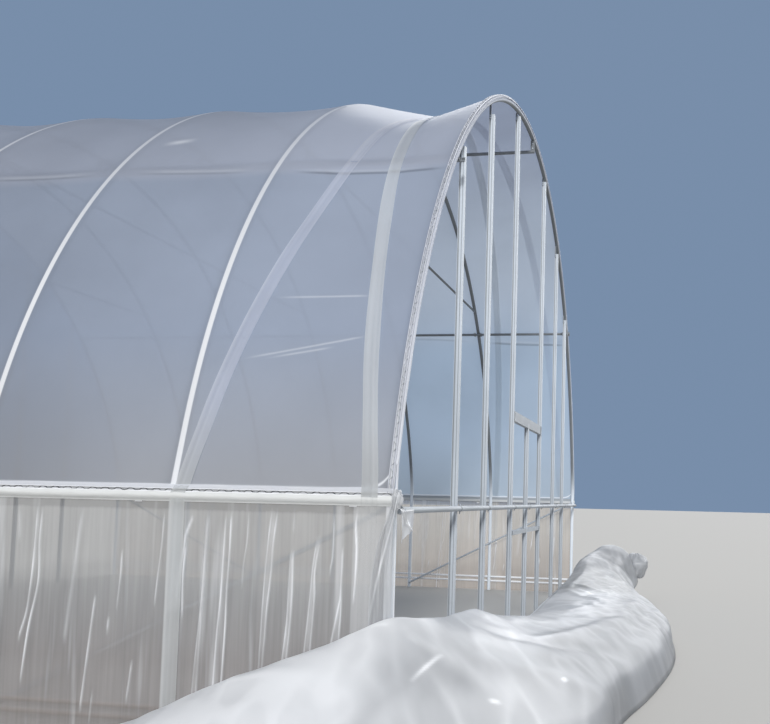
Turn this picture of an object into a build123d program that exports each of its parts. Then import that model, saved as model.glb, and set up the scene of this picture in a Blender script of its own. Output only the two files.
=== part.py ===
"""Round-arched polytunnel greenhouse, with its open end frame and its loose end sheet on the ground.

The origin is on the ground, at the foot of the middle door post of the front end.
X runs along the tunnel, with the front end at X = 0 and the tunnel behind it, towards -X.
Y runs across the tunnel, with the near side at -Y and the far side at +Y. Z is up. Millimetres.
"""
from math import acos, atan2, cos, degrees, hypot, radians, sin, sqrt
import os

from build123d import *

# Sizes of the whole tunnel
WIDTH = 9144.0
RIDGE_HEIGHT = 5051.0
HIP_HEIGHT = 1367.0
BAY = 1219.2
BAYS = 6

# Bows
BOW_TUBE = 42.0
SHOULDER_RADIUS = 1000.0

# Purlins, ties and braces
PURLIN_TUBE = 32.0
SIDE_PURLIN_ANGLE = 44.5
RIDGE_DROP = 137.0
HANGER_WIDTH = 40.0
HANGER_THICKNESS = 8.0
TIE_TUBE = 26.0
TIE_BELOW_RIDGE = 1181.0
BRACE_TUBE = 26.0
BRACE_BAYS = 2
BRACE_FOOT_HEIGHT = 60.0
BRACE_TOP_BELOW_HIP = 60.0

# Rails along the sides
HIP_RAIL_HEIGHT = 68.0
HIP_RAIL_THICKNESS = 38.0
CHANNEL_WIDTH = 28.0
CHANNEL_DEPTH = 12.0
BASE_RAIL_TUBE = 26.0
BASE_RAIL_HEIGHTS = (130.0, 192.0)

# End frames
STUD_WIDTH = 38.0
DOOR_POST_SPACING = 1828.8
MID_STUD_OUT = 2150.0
OUTER_STUD_OUT = 3150.0
END_RAIL_TUBE = 36.0
END_RAIL_BELOW_HIP = 92.0
DOOR_HEIGHT = 2057.0
HEADER_BAR_HEIGHT = 45.0
DOOR_MID_RAIL_HEIGHT = 1040.0

# Film, made thicker than the real sheet
FILM = 3.0
STRAP_WIDTH = 88.0
STRAP_CROSS_ANGLE = 60.0
STRAP_CROSS_IN = 550.0
STRAP_STEPS = 12
FLAP_WIDTH = 310.0
FLAP_HEIGHT = 190.0

# Clearance between pieces that touch
GAP = 0.3

# Where each hold-down strap comes down, behind the front end: near side, far side
STRAP_A_FEET = (1175.0, 180.0)
STRAP_B_FEET = (137.0, 1160.0)

# Loose end sheet, as cross-sections of its heap. Each one ends in its heights: at the inner edge, at
# one third of the way out, at two thirds and at the outer edge.
# Along the near side it starts with the X of the inner foot, the X of the outer foot and the reach in Y.
# Along the front end it starts with the Y of the inner foot, and the X and the Y of the outer foot.
SHEET_ALONG_SIDE = (
    (-1640.0, -1680.0, 240.0, (50.0, 70.0, 60.0, 30.0)),
    (-1150.0, -1250.0, 560.0, (170.0, 190.0, 150.0, 60.0)),
    (-700.0, -800.0, 800.0, (340.0, 330.0, 240.0, 80.0)),
    (-300.0, -250.0, 960.0, (520.0, 450.0, 300.0, 90.0)),
    (40.0, 450.0, 980.0, (640.0, 540.0, 360.0, 110.0)),
)
SHEET_ALONG_END = (
    (-4400.0, 1050.0, -5100.0, (620.0, 540.0, 400.0, 150.0)),
    (-3950.0, 1290.0, -4300.0, (560.0, 520.0, 440.0, 220.0)),
    (-3050.0, 1470.0, -3450.0, (500.0, 470.0, 460.0, 260.0)),
    (-2100.0, 1550.0, -2450.0, (350.0, 420.0, 470.0, 280.0)),
    (-1000.0, 1550.0, -1250.0, (230.0, 360.0, 450.0, 280.0)),
    (0.0, 1420.0, -100.0, (180.0, 310.0, 400.0, 250.0)),
    (1000.0, 1230.0, 1200.0, (240.0, 320.0, 350.0, 200.0)),
    (2100.0, 1030.0, 2450.0, (240.0, 330.0, 340.0, 180.0)),
    (3100.0, 900.0, 3550.0, (250.0, 380.0, 400.0, 200.0)),
    (4050.0, 1030.0, 4450.0, (290.0, 560.0, 600.0, 250.0)),
    (4650.0, 930.0, 4950.0, (160.0, 340.0, 340.0, 120.0)),
)
SHEET_OFF_FRAME = 50.0

# What follows from those sizes
LENGTH = BAY * BAYS
BOW_R = BOW_TUBE / 2
BOW_HALF = WIDTH / 2 - BOW_R
BOW_TOP = RIDGE_HEIGHT - BOW_R
SHOULDER_IN = BOW_HALF - SHOULDER_RADIUS
SHOULDER_TOP = BOW_TOP - SHOULDER_RADIUS
# The legs are straight up to the hip rails, and higher under a ridge that an arch from there can't reach
BEND_HEIGHT = max(HIP_HEIGHT, BOW_TOP + 2 * BOW_TUBE - BOW_HALF)
ARC_CENTRE = (SHOULDER_IN**2 + BEND_HEIGHT**2 - SHOULDER_TOP**2) / (2 * (BEND_HEIGHT - SHOULDER_TOP))
ARC_RADIUS = BOW_TOP - ARC_CENTRE
ARC_START = degrees(atan2(BEND_HEIGHT - ARC_CENTRE, SHOULDER_IN))
BOW_OUTSIDE = ARC_RADIUS + BOW_R
BOW_INSIDE = ARC_RADIUS - BOW_R

RAIL_IN = WIDTH / 2 + GAP
RAIL_OUT = RAIL_IN + HIP_RAIL_THICKNESS
FILM_IN = RAIL_OUT + GAP
FILM_OUT = FILM_IN + FILM
CHANNEL_IN = FILM_OUT + GAP
CHANNEL_OUT = CHANNEL_IN + CHANNEL_DEPTH
STRAP_IN = CHANNEL_OUT + GAP
CHANNEL_TOP = HIP_HEIGHT - 2
CHANNEL_BOTTOM = CHANNEL_TOP - CHANNEL_WIDTH
CURTAIN_TOP = CHANNEL_BOTTOM
END_RAIL_HEIGHT = HIP_HEIGHT - END_RAIL_BELOW_HIP
TIE_HEIGHT = RIDGE_HEIGHT - TIE_BELOW_RIDGE
END_PLANE = BOW_R
SIDE_END = BOW_R
SIDE_LENGTH = LENGTH + BOW_TUBE

os.makedirs("parts", exist_ok=True)


def save(name, part):
    """Labels one finished piece and writes it."""
    part.label = name
    export_step(part, f"parts/{name}.step")


def on_arc(radius, angle):
    """Y and Z of a point at an angle above the near horizontal, on a circle round the bows' centre."""
    return -radius * cos(radians(angle)), ARC_CENTRE + radius * sin(radians(angle))


def arch_sketch(plane, lift, side_in, thickness, bottom):
    """Sketch of a skin over the bows: up each side, straight on to the arc, and over the ridge."""
    hip_rise = HIP_HEIGHT - ARC_CENTRE
    side_to_arc = min(1, (BOW_OUTSIDE + lift) / hypot(side_in, hip_rise))
    start = max(ARC_START, degrees(atan2(hip_rise, side_in) + acos(side_to_arc)))
    with BuildSketch(plane) as sketch:
        with BuildLine():
            for out in (0, thickness):
                radius = BOW_OUTSIDE + lift + out
                side = side_in + out
                bend_z = ARC_CENTRE + (radius - side * cos(radians(start))) / sin(radians(start))
                start_y, start_z = on_arc(radius, start)
                Polyline((-side, bottom), (-side, bend_z), (start_y, start_z))
                CenterArc((0, ARC_CENTRE), radius, 180 - start, 2 * start - 180)
                Polyline((-start_y, start_z), (side, bend_z), (side, bottom))
            for hand in (-1, 1):
                Line((hand * side_in, bottom), (hand * (side_in + thickness), bottom))
        make_face()
    return sketch.sketch


def bar_along_x(start, length, y, z, width, height):
    """Square-edged bar that runs back from start, with its middle at y and z."""
    with BuildPart() as bar:
        with BuildSketch(Plane.YZ.offset(start)):
            with Locations((y, z)):
                Rectangle(width, height)
        extrude(amount=-length)
    return bar.part


def tube_along_x(start, length, places, diameter):
    """Round bars that run back from start, one at each of the places (y, z)."""
    with BuildPart() as tube:
        with BuildSketch(Plane.YZ.offset(start)):
            with Locations(*places):
                Circle(diameter / 2)
        extrude(amount=-length)
    return tube.part


# Bows: straight legs, a soft shoulder and one large arc
for number in range(BAYS + 1):
    bow_plane = Plane.YZ.offset(-number * BAY)
    with BuildPart() as bow:
        with BuildLine(bow_plane) as bow_line:
            Line((-BOW_HALF, 0), (-BOW_HALF, BEND_HEIGHT))
            CenterArc((-SHOULDER_IN, BEND_HEIGHT), SHOULDER_RADIUS, 180, -ARC_START)
            CenterArc((0, ARC_CENTRE), ARC_RADIUS, 180 - ARC_START, 2 * ARC_START - 180)
            CenterArc((SHOULDER_IN, BEND_HEIGHT), SHOULDER_RADIUS, ARC_START, -ARC_START)
            Line((BOW_HALF, BEND_HEIGHT), (BOW_HALF, 0))
        with BuildSketch(Plane.XY):
            with Locations((-number * BAY, -BOW_HALF)):
                Circle(BOW_R)
        sweep(path=bow_line.wire())
    save(f"bow_{number + 1}", bow.part)

# Purlins: the side ones touch the bows from inside, the ridge one hangs a little below them
purlin_y, purlin_z = on_arc(BOW_INSIDE - GAP - PURLIN_TUBE / 2, SIDE_PURLIN_ANGLE)
ridge_z = BOW_TOP - RIDGE_DROP
save("near_purlin", tube_along_x(SIDE_END, SIDE_LENGTH, [(purlin_y, purlin_z)], PURLIN_TUBE))
save("far_purlin", tube_along_x(SIDE_END, SIDE_LENGTH, [(-purlin_y, purlin_z)], PURLIN_TUBE))
save("ridge_purlin", tube_along_x(SIDE_END, SIDE_LENGTH, [(0, ridge_z)], PURLIN_TUBE))

# Hangers between each bow and the ridge purlin
hanger_bottom = ridge_z + PURLIN_TUBE / 2 + GAP
hanger_top = BOW_TOP - BOW_R - GAP
with BuildPart() as ridge_hangers:
    with BuildSketch(Plane.XY.offset(hanger_bottom)):
        with Locations(*[(-number * BAY, 0) for number in range(BAYS + 1)]):
            Rectangle(HANGER_WIDTH, HANGER_THICKNESS)
    extrude(amount=hanger_top - hanger_bottom)
save("ridge_hangers", ridge_hangers.part)

# Collar ties, level across every second bow
tie_top = TIE_HEIGHT + TIE_TUBE / 2 - ARC_CENTRE
tie_half = sqrt(BOW_INSIDE**2 - tie_top**2) - GAP
with BuildPart() as collar_ties:
    with BuildSketch(Plane.XZ.offset(-tie_half)):
        with Locations(*[(-number * BAY, TIE_HEIGHT) for number in range(1, BAYS, 2)]):
            Circle(TIE_TUBE / 2)
    extrude(amount=2 * tie_half)
save("collar_ties", collar_ties.part)

# Rails, channels, base rails and braces of the two sides
brace_run = BRACE_BAYS * BAY
brace_rise = HIP_HEIGHT - BRACE_TOP_BELOW_HIP - BRACE_FOOT_HEIGHT
brace_y = BOW_HALF - BOW_R - GAP - BRACE_TUBE / 2
for side, hand in (("near", -1), ("far", 1)):
    rail_y = hand * (RAIL_IN + HIP_RAIL_THICKNESS / 2)
    rail_z = HIP_HEIGHT - HIP_RAIL_HEIGHT / 2
    rail = bar_along_x(SIDE_END, SIDE_LENGTH, rail_y, rail_z, HIP_RAIL_THICKNESS, HIP_RAIL_HEIGHT)
    save(f"{side}_hip_rail", rail)

    channel_y = hand * (CHANNEL_IN + CHANNEL_DEPTH / 2)
    channel_z = CHANNEL_TOP - CHANNEL_WIDTH / 2
    channel = bar_along_x(SIDE_END, SIDE_LENGTH, channel_y, channel_z, CHANNEL_DEPTH, CHANNEL_WIDTH)
    save(f"{side}_hip_channel", channel)

    base_y = hand * (RAIL_IN + BASE_RAIL_TUBE / 2)
    base_places = [(base_y, height) for height in BASE_RAIL_HEIGHTS]
    save(f"{side}_base_rails", tube_along_x(SIDE_END, SIDE_LENGTH, base_places, BASE_RAIL_TUBE))

    with BuildPart() as braces:
        for foot_x, run in ((-brace_run, brace_run), (brace_run - LENGTH, -brace_run)):
            foot = Vector(foot_x, hand * brace_y, BRACE_FOOT_HEIGHT)
            along = Vector(run, 0, brace_rise)
            with BuildSketch(Plane(origin=foot, z_dir=along)):
                Circle(BRACE_TUBE / 2)
            extrude(amount=along.length)
    save(f"{side}_braces", braces.part)

# Two end frames alike: the front one, then the back one turned to face the other way
door_half = DOOR_POST_SPACING / 2
door_inside = door_half - STUD_WIDTH / 2 - GAP
half_opening = door_inside - STUD_WIDTH / 2 - GAP
half_middle = door_inside - half_opening / 2
header_z = DOOR_HEIGHT + HEADER_BAR_HEIGHT
for end, end_x, facing in (("front", 0.0, 1), ("back", -LENGTH, -1)):
    frame_plane = Plane.YZ.offset(end_x)
    for name, out in (
        ("door_posts", door_half),
        ("mid_studs", MID_STUD_OUT),
        ("outer_studs", OUTER_STUD_OUT),
    ):
        with BuildPart() as studs:
            with BuildSketch(frame_plane):
                with Locations((-out, BOW_TOP / 2), (out, BOW_TOP / 2)):
                    Rectangle(STUD_WIDTH, BOW_TOP)
                with Locations((0, ARC_CENTRE)):
                    Circle(BOW_INSIDE - GAP, mode=Mode.INTERSECT)
            extrude(amount=BOW_R, both=True)
        save(f"{end}_{name}", studs.part)

    with BuildPart() as centre_post:
        with BuildSketch(frame_plane):
            with Locations((0, header_z / 2)):
                Rectangle(STUD_WIDTH, header_z)
        extrude(amount=BOW_R, both=True)
    save(f"{end}_centre_post", centre_post.part)

    with BuildPart() as header:
        with BuildSketch(frame_plane):
            with Locations((0, header_z + GAP + HEADER_BAR_HEIGHT / 2)):
                Rectangle(2 * door_inside, HEADER_BAR_HEIGHT)
            for hand in (-1, 1):
                with Locations((hand * half_middle, DOOR_HEIGHT + HEADER_BAR_HEIGHT / 2)):
                    Rectangle(half_opening, HEADER_BAR_HEIGHT - GAP)
        extrude(amount=BOW_R - GAP, both=True)
    save(f"{end}_door_header", header.part)

    with BuildPart() as mid_rails:
        with BuildSketch(frame_plane):
            for hand in (-1, 1):
                with Locations((hand * half_middle, DOOR_MID_RAIL_HEIGHT)):
                    Rectangle(half_opening, STUD_WIDTH)
        extrude(amount=BOW_R - GAP, both=True)
    save(f"{end}_door_mid_rails", mid_rails.part)

    with BuildPart() as end_rail:
        with BuildSketch(Plane.XZ.offset(-WIDTH / 2)):
            with Locations((end_x + facing * (END_PLANE + GAP + END_RAIL_TUBE / 2), END_RAIL_HEIGHT)):
                Circle(END_RAIL_TUBE / 2)
        extrude(amount=WIDTH)
    save(f"{end}_end_rail", end_rail.part)

    channel_plane = Plane.YZ.offset(end_x - CHANNEL_WIDTH / 2)
    channel_lift = 2 * GAP + FILM
    channel_skin = arch_sketch(
        channel_plane, channel_lift, CHANNEL_IN, CHANNEL_DEPTH, CHANNEL_TOP + GAP
    )
    with BuildPart() as bow_channel:
        extrude(channel_skin, amount=CHANNEL_WIDTH)
    save(f"{end}_bow_channel", bow_channel.part)

# Roof film, from one hip rail over the ridge to the other
roof_skin = arch_sketch(Plane.YZ.offset(SIDE_END), GAP, FILM_IN, FILM, CURTAIN_TOP + GAP)
with BuildPart() as roof_cover:
    extrude(roof_skin, amount=-SIDE_LENGTH)
save("roof_cover", roof_cover.part)

# Side curtains, which hang from the hip rails to the ground
flap_x = END_PLANE + GAP
flap_top = END_RAIL_HEIGHT - END_RAIL_TUBE / 2 - GAP
for side, hand in (("near", -1), ("far", 1)):
    with BuildPart() as curtain:
        with BuildSketch(Plane.YZ.offset(flap_x)):
            with Locations((hand * (FILM_IN + FILM / 2), CURTAIN_TOP / 2)):
                Rectangle(FILM, CURTAIN_TOP)
        extrude(amount=-SIDE_LENGTH - GAP)
        if side == "near":
            with BuildSketch(Plane.YZ.offset(flap_x)):
                with BuildLine():
                    Polyline(
                        (-FILM_OUT, flap_top),
                        (FLAP_WIDTH - FILM_OUT, flap_top),
                        (2 * FILM - FILM_OUT, flap_top - FLAP_HEIGHT),
                        (2 * FILM - FILM_OUT, 0),
                        (-FILM_OUT, 0),
                        close=True,
                    )
                make_face()
            extrude(amount=FILM)
    save(f"{side}_curtain", curtain.part)


def strap_outline(feet, width):
    """Plan of one strap: straight along the film from each foot to the crossing."""
    line = []
    for near_angle, far_angle, near_x, far_x in (
        (ARC_START, STRAP_CROSS_ANGLE, feet[0], STRAP_CROSS_IN),
        (STRAP_CROSS_ANGLE, 180 - ARC_START, STRAP_CROSS_IN, feet[1]),
    ):
        for step in range(STRAP_STEPS + 1):
            share = step / STRAP_STEPS
            angle = near_angle + share * (far_angle - near_angle)
            line.append((-(near_x + share * (far_x - near_x)), on_arc(BOW_OUTSIDE, angle)[0]))
    line.pop(STRAP_STEPS)
    line.insert(0, (line[0][0], -WIDTH))
    line.append((line[-1][0], WIDTH))
    front = [(x + width / 2, y) for x, y in line]
    back = [(x - width / 2, y) for x, y in reversed(line)]
    return front + back


# Hold-down straps of folded film: strap_b crosses over strap_a
for name, feet, layer in (("strap_a", STRAP_A_FEET, 0), ("strap_b", STRAP_B_FEET, 1)):
    layer_lift = layer * (FILM + GAP)
    strap_plane = Plane.YZ.offset(-BAY - STRAP_WIDTH)
    strap_skin = arch_sketch(
        strap_plane, 2 * GAP + FILM + layer_lift, STRAP_IN + layer_lift, FILM, 0
    )
    with BuildPart() as strap:
        extrude(strap_skin, amount=BAY + STRAP_WIDTH)
        with BuildSketch(Plane.XY):
            with BuildLine():
                Polyline(*strap_outline(feet, STRAP_WIDTH), close=True)
            make_face()
        extrude(amount=2 * RIDGE_HEIGHT, mode=Mode.INTERSECT)
    save(name, strap.part)

# Loose end sheet: a heap of film round the near corner and along the front end
sheet_side_y = -(STRAP_IN + 2 * FILM + 2 * GAP)
sheet_end_x = END_PLANE + GAP + END_RAIL_TUBE + SHEET_OFF_FRAME
sections = []
for inner_x, outer_x, reach, heights in SHEET_ALONG_SIDE:
    sections.append(((inner_x, sheet_side_y), (outer_x, sheet_side_y - reach), heights))
for inner_y, outer_x, outer_y, heights in SHEET_ALONG_END:
    sections.append(((sheet_end_x, inner_y), (outer_x, outer_y), heights))
with BuildPart() as loose_end_sheet:
    for (inner_x, inner_y), (outer_x, outer_y), heights in sections:
        across = Vector(outer_x - inner_x, outer_y - inner_y, 0)
        spread = across.length
        section_plane = Plane(
            origin=(inner_x, inner_y, 0), x_dir=across, z_dir=across.cross(Vector(0, 0, 1))
        )
        with BuildSketch(section_plane):
            with BuildLine():
                Polyline(
                    (0, 0),
                    (0, heights[0]),
                    (spread / 3, heights[1]),
                    (2 * spread / 3, heights[2]),
                    (spread, heights[3]),
                    (spread, 0),
                    close=True,
                )
            make_face()
    loft(ruled=True)
save("loose_end_sheet", loose_end_sheet.part)
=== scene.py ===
from bisect import bisect_left, bisect_right
from collections import namedtuple
from math import acos, atan2, cos, degrees, exp, hypot, pi, radians, sin
import random

import bmesh
import bpy
from bpy.props import FloatProperty, FloatVectorProperty, PointerProperty
from bpy.types import NodeSocket, Operator, Panel, PropertyGroup
from mathutils import Matrix, Vector, noise


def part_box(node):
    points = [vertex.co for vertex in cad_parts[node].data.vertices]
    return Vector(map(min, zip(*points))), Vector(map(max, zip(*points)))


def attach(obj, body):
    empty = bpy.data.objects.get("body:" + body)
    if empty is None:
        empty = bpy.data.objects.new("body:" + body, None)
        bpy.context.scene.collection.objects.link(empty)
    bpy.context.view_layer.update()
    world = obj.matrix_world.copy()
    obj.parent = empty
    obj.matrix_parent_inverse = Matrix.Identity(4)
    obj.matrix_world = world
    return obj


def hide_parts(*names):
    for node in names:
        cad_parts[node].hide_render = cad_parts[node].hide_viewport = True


bl_info = {
    "name": "Polytunnel dresser",
    "version": (1, 0, 0),
    "blender": (4, 5, 0),
    "location": "View3D > Sidebar > Polytunnel",
    "description": "Puts film, straps, channels, fittings and finishes on a polytunnel's frame",
    "category": "Object",
}

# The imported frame: X runs along the tunnel with the front end at 0, Y across it, Z up, in metres
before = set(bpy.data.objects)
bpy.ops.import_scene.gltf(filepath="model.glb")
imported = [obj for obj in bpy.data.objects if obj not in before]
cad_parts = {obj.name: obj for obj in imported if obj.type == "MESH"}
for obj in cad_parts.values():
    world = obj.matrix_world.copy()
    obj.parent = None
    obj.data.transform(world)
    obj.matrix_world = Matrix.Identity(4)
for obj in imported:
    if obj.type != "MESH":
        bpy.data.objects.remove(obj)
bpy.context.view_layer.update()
BODY = "root"

# Sizes read from the frame
BOW_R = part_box("bow_1")[1].x
HALF_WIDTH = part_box("bow_1")[1].y
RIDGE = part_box("bow_1")[1].z
BAY = -sum(corner.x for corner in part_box("bow_2")) / 2
BAYS = sum(name.startswith("bow_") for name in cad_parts) - 1
LENGTH = BAYS * BAY
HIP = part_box("near_hip_rail")[1].z
RAIL_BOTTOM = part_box("near_hip_rail")[0].z
FRONT_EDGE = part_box("near_hip_rail")[1].x
BACK_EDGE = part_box("near_hip_rail")[0].x
RAIL_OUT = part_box("far_hip_rail")[1].y
RAIL_THICKNESS = 0.038
CHANNEL_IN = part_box("far_hip_channel")[0].y
CHANNEL_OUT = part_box("far_hip_channel")[1].y
CHANNEL_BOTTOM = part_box("far_hip_channel")[0].z
CHANNEL_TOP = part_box("far_hip_channel")[1].z
CURTAIN_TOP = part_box("far_curtain")[1].z
FILM_SIDE = sum(corner.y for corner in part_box("far_curtain")) / 2
FILM_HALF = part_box("far_curtain")[1].y - FILM_SIDE
END_RAIL_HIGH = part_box("front_end_rail")[1]
PURLIN_R = (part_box("far_purlin")[1].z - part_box("far_purlin")[0].z) / 2
SIDE_PURLIN = sum(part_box("far_purlin"), Vector()) / 2
RIDGE_PURLIN = sum(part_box("ridge_purlin"), Vector()) / 2
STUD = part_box("front_centre_post")[1]
BOWS = [-BAY * number for number in range(BAYS + 1)]

# Each side's name and its hand along Y, and each end's name, X and hand along X
SIDES = (("near", -1), ("far", 1))
ENDS = (("front", 0, 1), ("back", -LENGTH, -1))
STUD_KINDS = ("door_posts", "mid_studs", "outer_studs")

# The arch of the bows, worked out as the frame's own is
SHOULDER_RADIUS = 1.0
SHOULDER_IN = HALF_WIDTH - BOW_R - SHOULDER_RADIUS
SHOULDER_TOP = RIDGE - BOW_R - SHOULDER_RADIUS
ARC_CENTRE = (SHOULDER_IN**2 + HIP**2 - SHOULDER_TOP**2) / (2 * (HIP - SHOULDER_TOP))
ARC_START = atan2(HIP - ARC_CENTRE, SHOULDER_IN)
BOW_OUTSIDE = RIDGE - ARC_CENTRE

# Where the hold-down straps cross, and their X on the way up from the near side, by angle in degrees
STRAP_CROSS_X = -0.50
STRAP_CROSS_ANGLE = radians(68)
STRAP_LINES = {
    "strap_a": (
        (0, -1.18), (12, -1.16), (18, -1.088), (24, -1.002), (31, -0.896), (38, -0.784), (45, -0.712),
        (52, -0.667), (59, -0.580), (68, STRAP_CROSS_X), (168, -0.18),
    ),
    "strap_b": (
        (0, -0.105), (12, -0.102), (17, -0.150), (22, -0.205), (28, -0.261), (35, -0.323), (43, -0.392),
        (52, -0.436), (68, STRAP_CROSS_X), (168, -1.16),
    ),
}
# Fine white creases of the roof film on the near side: height at X = 0, slope along X, from X, to X
FILM_CREASES = ((2.50, 0.0, -0.90, -0.26), (2.29, 0.19, -1.0, -0.24), (2.25, 0.17, -0.86, -0.42))
# A painted sun glint on the roof film of the second bay: its x and z
SUN_GLINT_PLACE = (-2.19, 3.94)

# The photograph's view: place in metres, turns in degrees, and the lens with its shift
CAMERA_PLACE = (1.4281, -9.3288, 1.3474)
CAMERA_YAW = 10.330
CAMERA_PITCH = 4.160
CAMERA_ROLL = 1.306
CAMERA_SENSOR_MM = 36.0
CAMERA_LENS_MM = 44.17
CAMERA_SHIFT = (-0.1494, 0.0883)

# The studio: the sky's colour as light, as it is seen, and behind the far half of the roof film from low to
# high, the floor, and each sun's strength, size and turns
SKY_LIGHT = (0.93, 0.96, 1.0, 1)
SKY_SEEN = (0.19, 0.27, 0.40, 1)
SKY_BEHIND = ((0.62, 0.77, 0.90, 1), (0.78, 0.85, 0.90, 1))
FLOOR_COLOUR = (0.42, 0.41, 0.39, 1)
SUNS = (("key", 2.1, 10, (60, 0, 14)), ("fill", 2.4, 60, (58, 0, 165)))

# Creases of the near curtain: width, brightness, and places as height and x, from the foot up
NEAR_CREASES = (
    (0.006, 0.95, ((0.54, -2.095), (0.66, -2.061), (0.80, -2.045), (0.95, -2.035), (1.23, -2.026))),
    (0.006, 0.95, (
        (0.31, -2.070), (0.51, -2.051), (0.61, -2.038), (0.84, -1.998), (1.06, -2.004), (1.23, -1.996),
    )),
    (0.010, 0.40, ((1.08, -2.129), (1.22, -2.138))),
    (0.012, 0.40, ((0.54, -1.816), (0.88, -1.783), (1.23, -1.750))),
    (0.006, 0.95, ((0.18, -1.701), (0.40, -1.681), (0.59, -1.663), (0.75, -1.648))),
    (0.005, 0.60, ((0.11, -1.645), (0.23, -1.637))),
    (0.007, 0.95, ((0.60, -1.564), (0.64, -1.562))),
    (0.005, 0.70, ((0.73, -1.515), (0.89, -1.502), (1.00, -1.500))),
    (0.006, 0.80, ((0.24, -1.432), (0.30, -1.425), (0.41, -1.414))),
    (0.0045, 0.80, ((0.76, -1.294), (0.87, -1.286), (1.07, -1.268), (1.22, -1.262))),
    (0.009, 1.00, ((0.78, -1.168), (0.91, -1.156), (1.06, -1.136), (1.12, -1.129), (1.21, -1.096))),
    (0.005, 0.70, ((0.70, -1.131), (0.90, -1.137), (1.05, -1.126))),
    (0.006, 0.70, ((0.20, -1.058), (0.46, -1.043), (0.60, -1.033), (0.83, -1.018), (1.23, -1.010))),
    (0.005, 0.60, ((0.20, -1.034), (0.42, -1.027), (0.59, -1.022), (1.20, -1.002))),
    (0.012, 0.35, ((0.30, -1.040), (0.60, -1.028), (1.20, -1.006))),
    (0.0045, 0.75, ((0.20, -0.941), (0.59, -0.929), (0.79, -0.916), (0.95, -0.911), (1.22, -0.905))),
    (0.005, 0.95, ((0.20, -0.897), (0.63, -0.883), (0.82, -0.883), (1.03, -0.876), (1.22, -0.875))),
    (0.004, 0.60, ((0.88, -0.797), (0.98, -0.793), (1.09, -0.780), (1.24, -0.776))),
    (0.005, 0.80, ((0.30, -0.690), (0.74, -0.677), (0.93, -0.670), (1.07, -0.661), (1.25, -0.647))),
    (0.005, 0.85, (
        (0.30, -0.678), (0.60, -0.658), (0.75, -0.652), (0.93, -0.638), (1.08, -0.631), (1.24, -0.616),
    )),
    (0.012, 0.30, ((0.50, -0.670), (0.93, -0.654), (1.24, -0.632))),
    (0.005, 0.60, ((1.17, -0.520), (1.25, -0.521))),
    (0.006, 0.85, ((0.35, -0.570), (0.69, -0.537), (0.85, -0.535), (1.03, -0.529))),
    (0.005, 0.85, ((0.35, -0.546), (0.69, -0.521), (0.85, -0.516), (1.03, -0.518))),
    (0.011, 0.45, ((0.50, -0.547), (0.85, -0.526), (1.00, -0.524))),
    (0.005, 0.80, ((0.45, -0.445), (0.70, -0.424), (0.82, -0.415), (0.97, -0.406), (1.07, -0.393))),
    (0.005, 0.80, ((0.45, -0.413), (0.70, -0.398), (0.83, -0.392), (0.94, -0.394), (1.06, -0.380))),
    (0.012, 0.40, ((0.55, -0.420), (0.83, -0.404), (1.10, -0.384))),
    (0.0045, 0.80, ((0.96, -0.312), (1.02, -0.302), (1.17, -0.299), (1.25, -0.303))),
    (0.005, 0.65, ((0.55, -0.300), (0.74, -0.266), (0.82, -0.252), (1.05, -0.248))),
    (0.004, 0.60, ((0.60, -0.254), (0.78, -0.246), (0.94, -0.248))),
    (0.005, 0.95, ((0.82, -0.180), (0.91, -0.175), (1.07, -0.173), (1.19, -0.181), (1.27, -0.175))),
)

# Loose sheet, as cross-sections of its heap: inner foot, outer foot, then the heights at the inner edge,
# at one third, at two thirds and at the outer edge
HEAP_SECTIONS = (
    ((-1.66, -4.66), (-1.70, -4.84), (0.03, 0.05, 0.04, 0.02)),
    ((-1.35, -4.66), (-1.43, -5.08), (0.12, 0.14, 0.12, 0.06)),
    ((-1.00, -4.66), (-1.12, -5.32), (0.26, 0.26, 0.20, 0.10)),
    ((-0.66, -4.66), (-0.72, -5.47), (0.43, 0.41, 0.30, 0.13)),
    ((-0.28, -4.67), (-0.19, -5.57), (0.61, 0.54, 0.38, 0.15)),
    ((0.02, -4.68), (0.36, -5.56), (0.77, 0.63, 0.44, 0.17)),
    ((0.13, -4.55), (0.84, -5.10), (0.76, 0.63, 0.45, 0.19)),
    ((0.13, -4.15), (1.11, -4.30), (0.71, 0.59, 0.43, 0.20)),
    ((0.13, -3.35), (1.15, -3.50), (0.66, 0.53, 0.42, 0.20)),
    ((0.13, -2.50), (1.31, -2.60), (0.50, 0.47, 0.42, 0.22)),
    ((0.13, -1.40), (1.45, -1.50), (0.35, 0.39, 0.39, 0.22)),
    ((0.13, -0.50), (1.48, -0.55), (0.30, 0.36, 0.38, 0.22)),
    ((0.13, 0.60), (1.41, 0.70), (0.33, 0.38, 0.37, 0.20)),
    ((0.13, 1.80), (1.20, 2.00), (0.35, 0.40, 0.37, 0.18)),
    ((0.13, 3.00), (1.00, 3.20), (0.39, 0.46, 0.42, 0.18)),
    ((0.13, 3.80), (0.90, 4.05), (0.43, 0.54, 0.48, 0.20)),
    ((0.15, 4.45), (0.88, 4.78), (0.26, 0.40, 0.34, 0.12)),
)
# How far the tops of the studs stay below the end bow, where brackets join them
STUD_GAPS = {"door_posts": 0.030, "mid_studs": 0.085, "outer_studs": 0.020}
# Top and bottom of the film that is rolled round the hip channel and rail
WRAP_TOP = 1.349
WRAP_BOTTOM = 1.294
# Bottom and top of the cleats of the door's middle rail
MIDDLE_CLEAT = (1.022, 1.058)
# Play between a pipe clamp and its tube; the clamps' strip thickness, bolts' place in radii, and bolts' size
CLAMP_PLAY = 0.0004
PURLIN_CLAMP = (0.0025, 1.55, 0.005)
RAIL_CLAMP = (0.002, 1.5, 0.0045)
# Points of the lock wire in each of its zigzags
WIRE_STEPS = 6
# Share of the sheet's cut that lies on top, under its inner edge and under its outer edge
HEAP_TOP = (0.10, 0.74)
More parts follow.
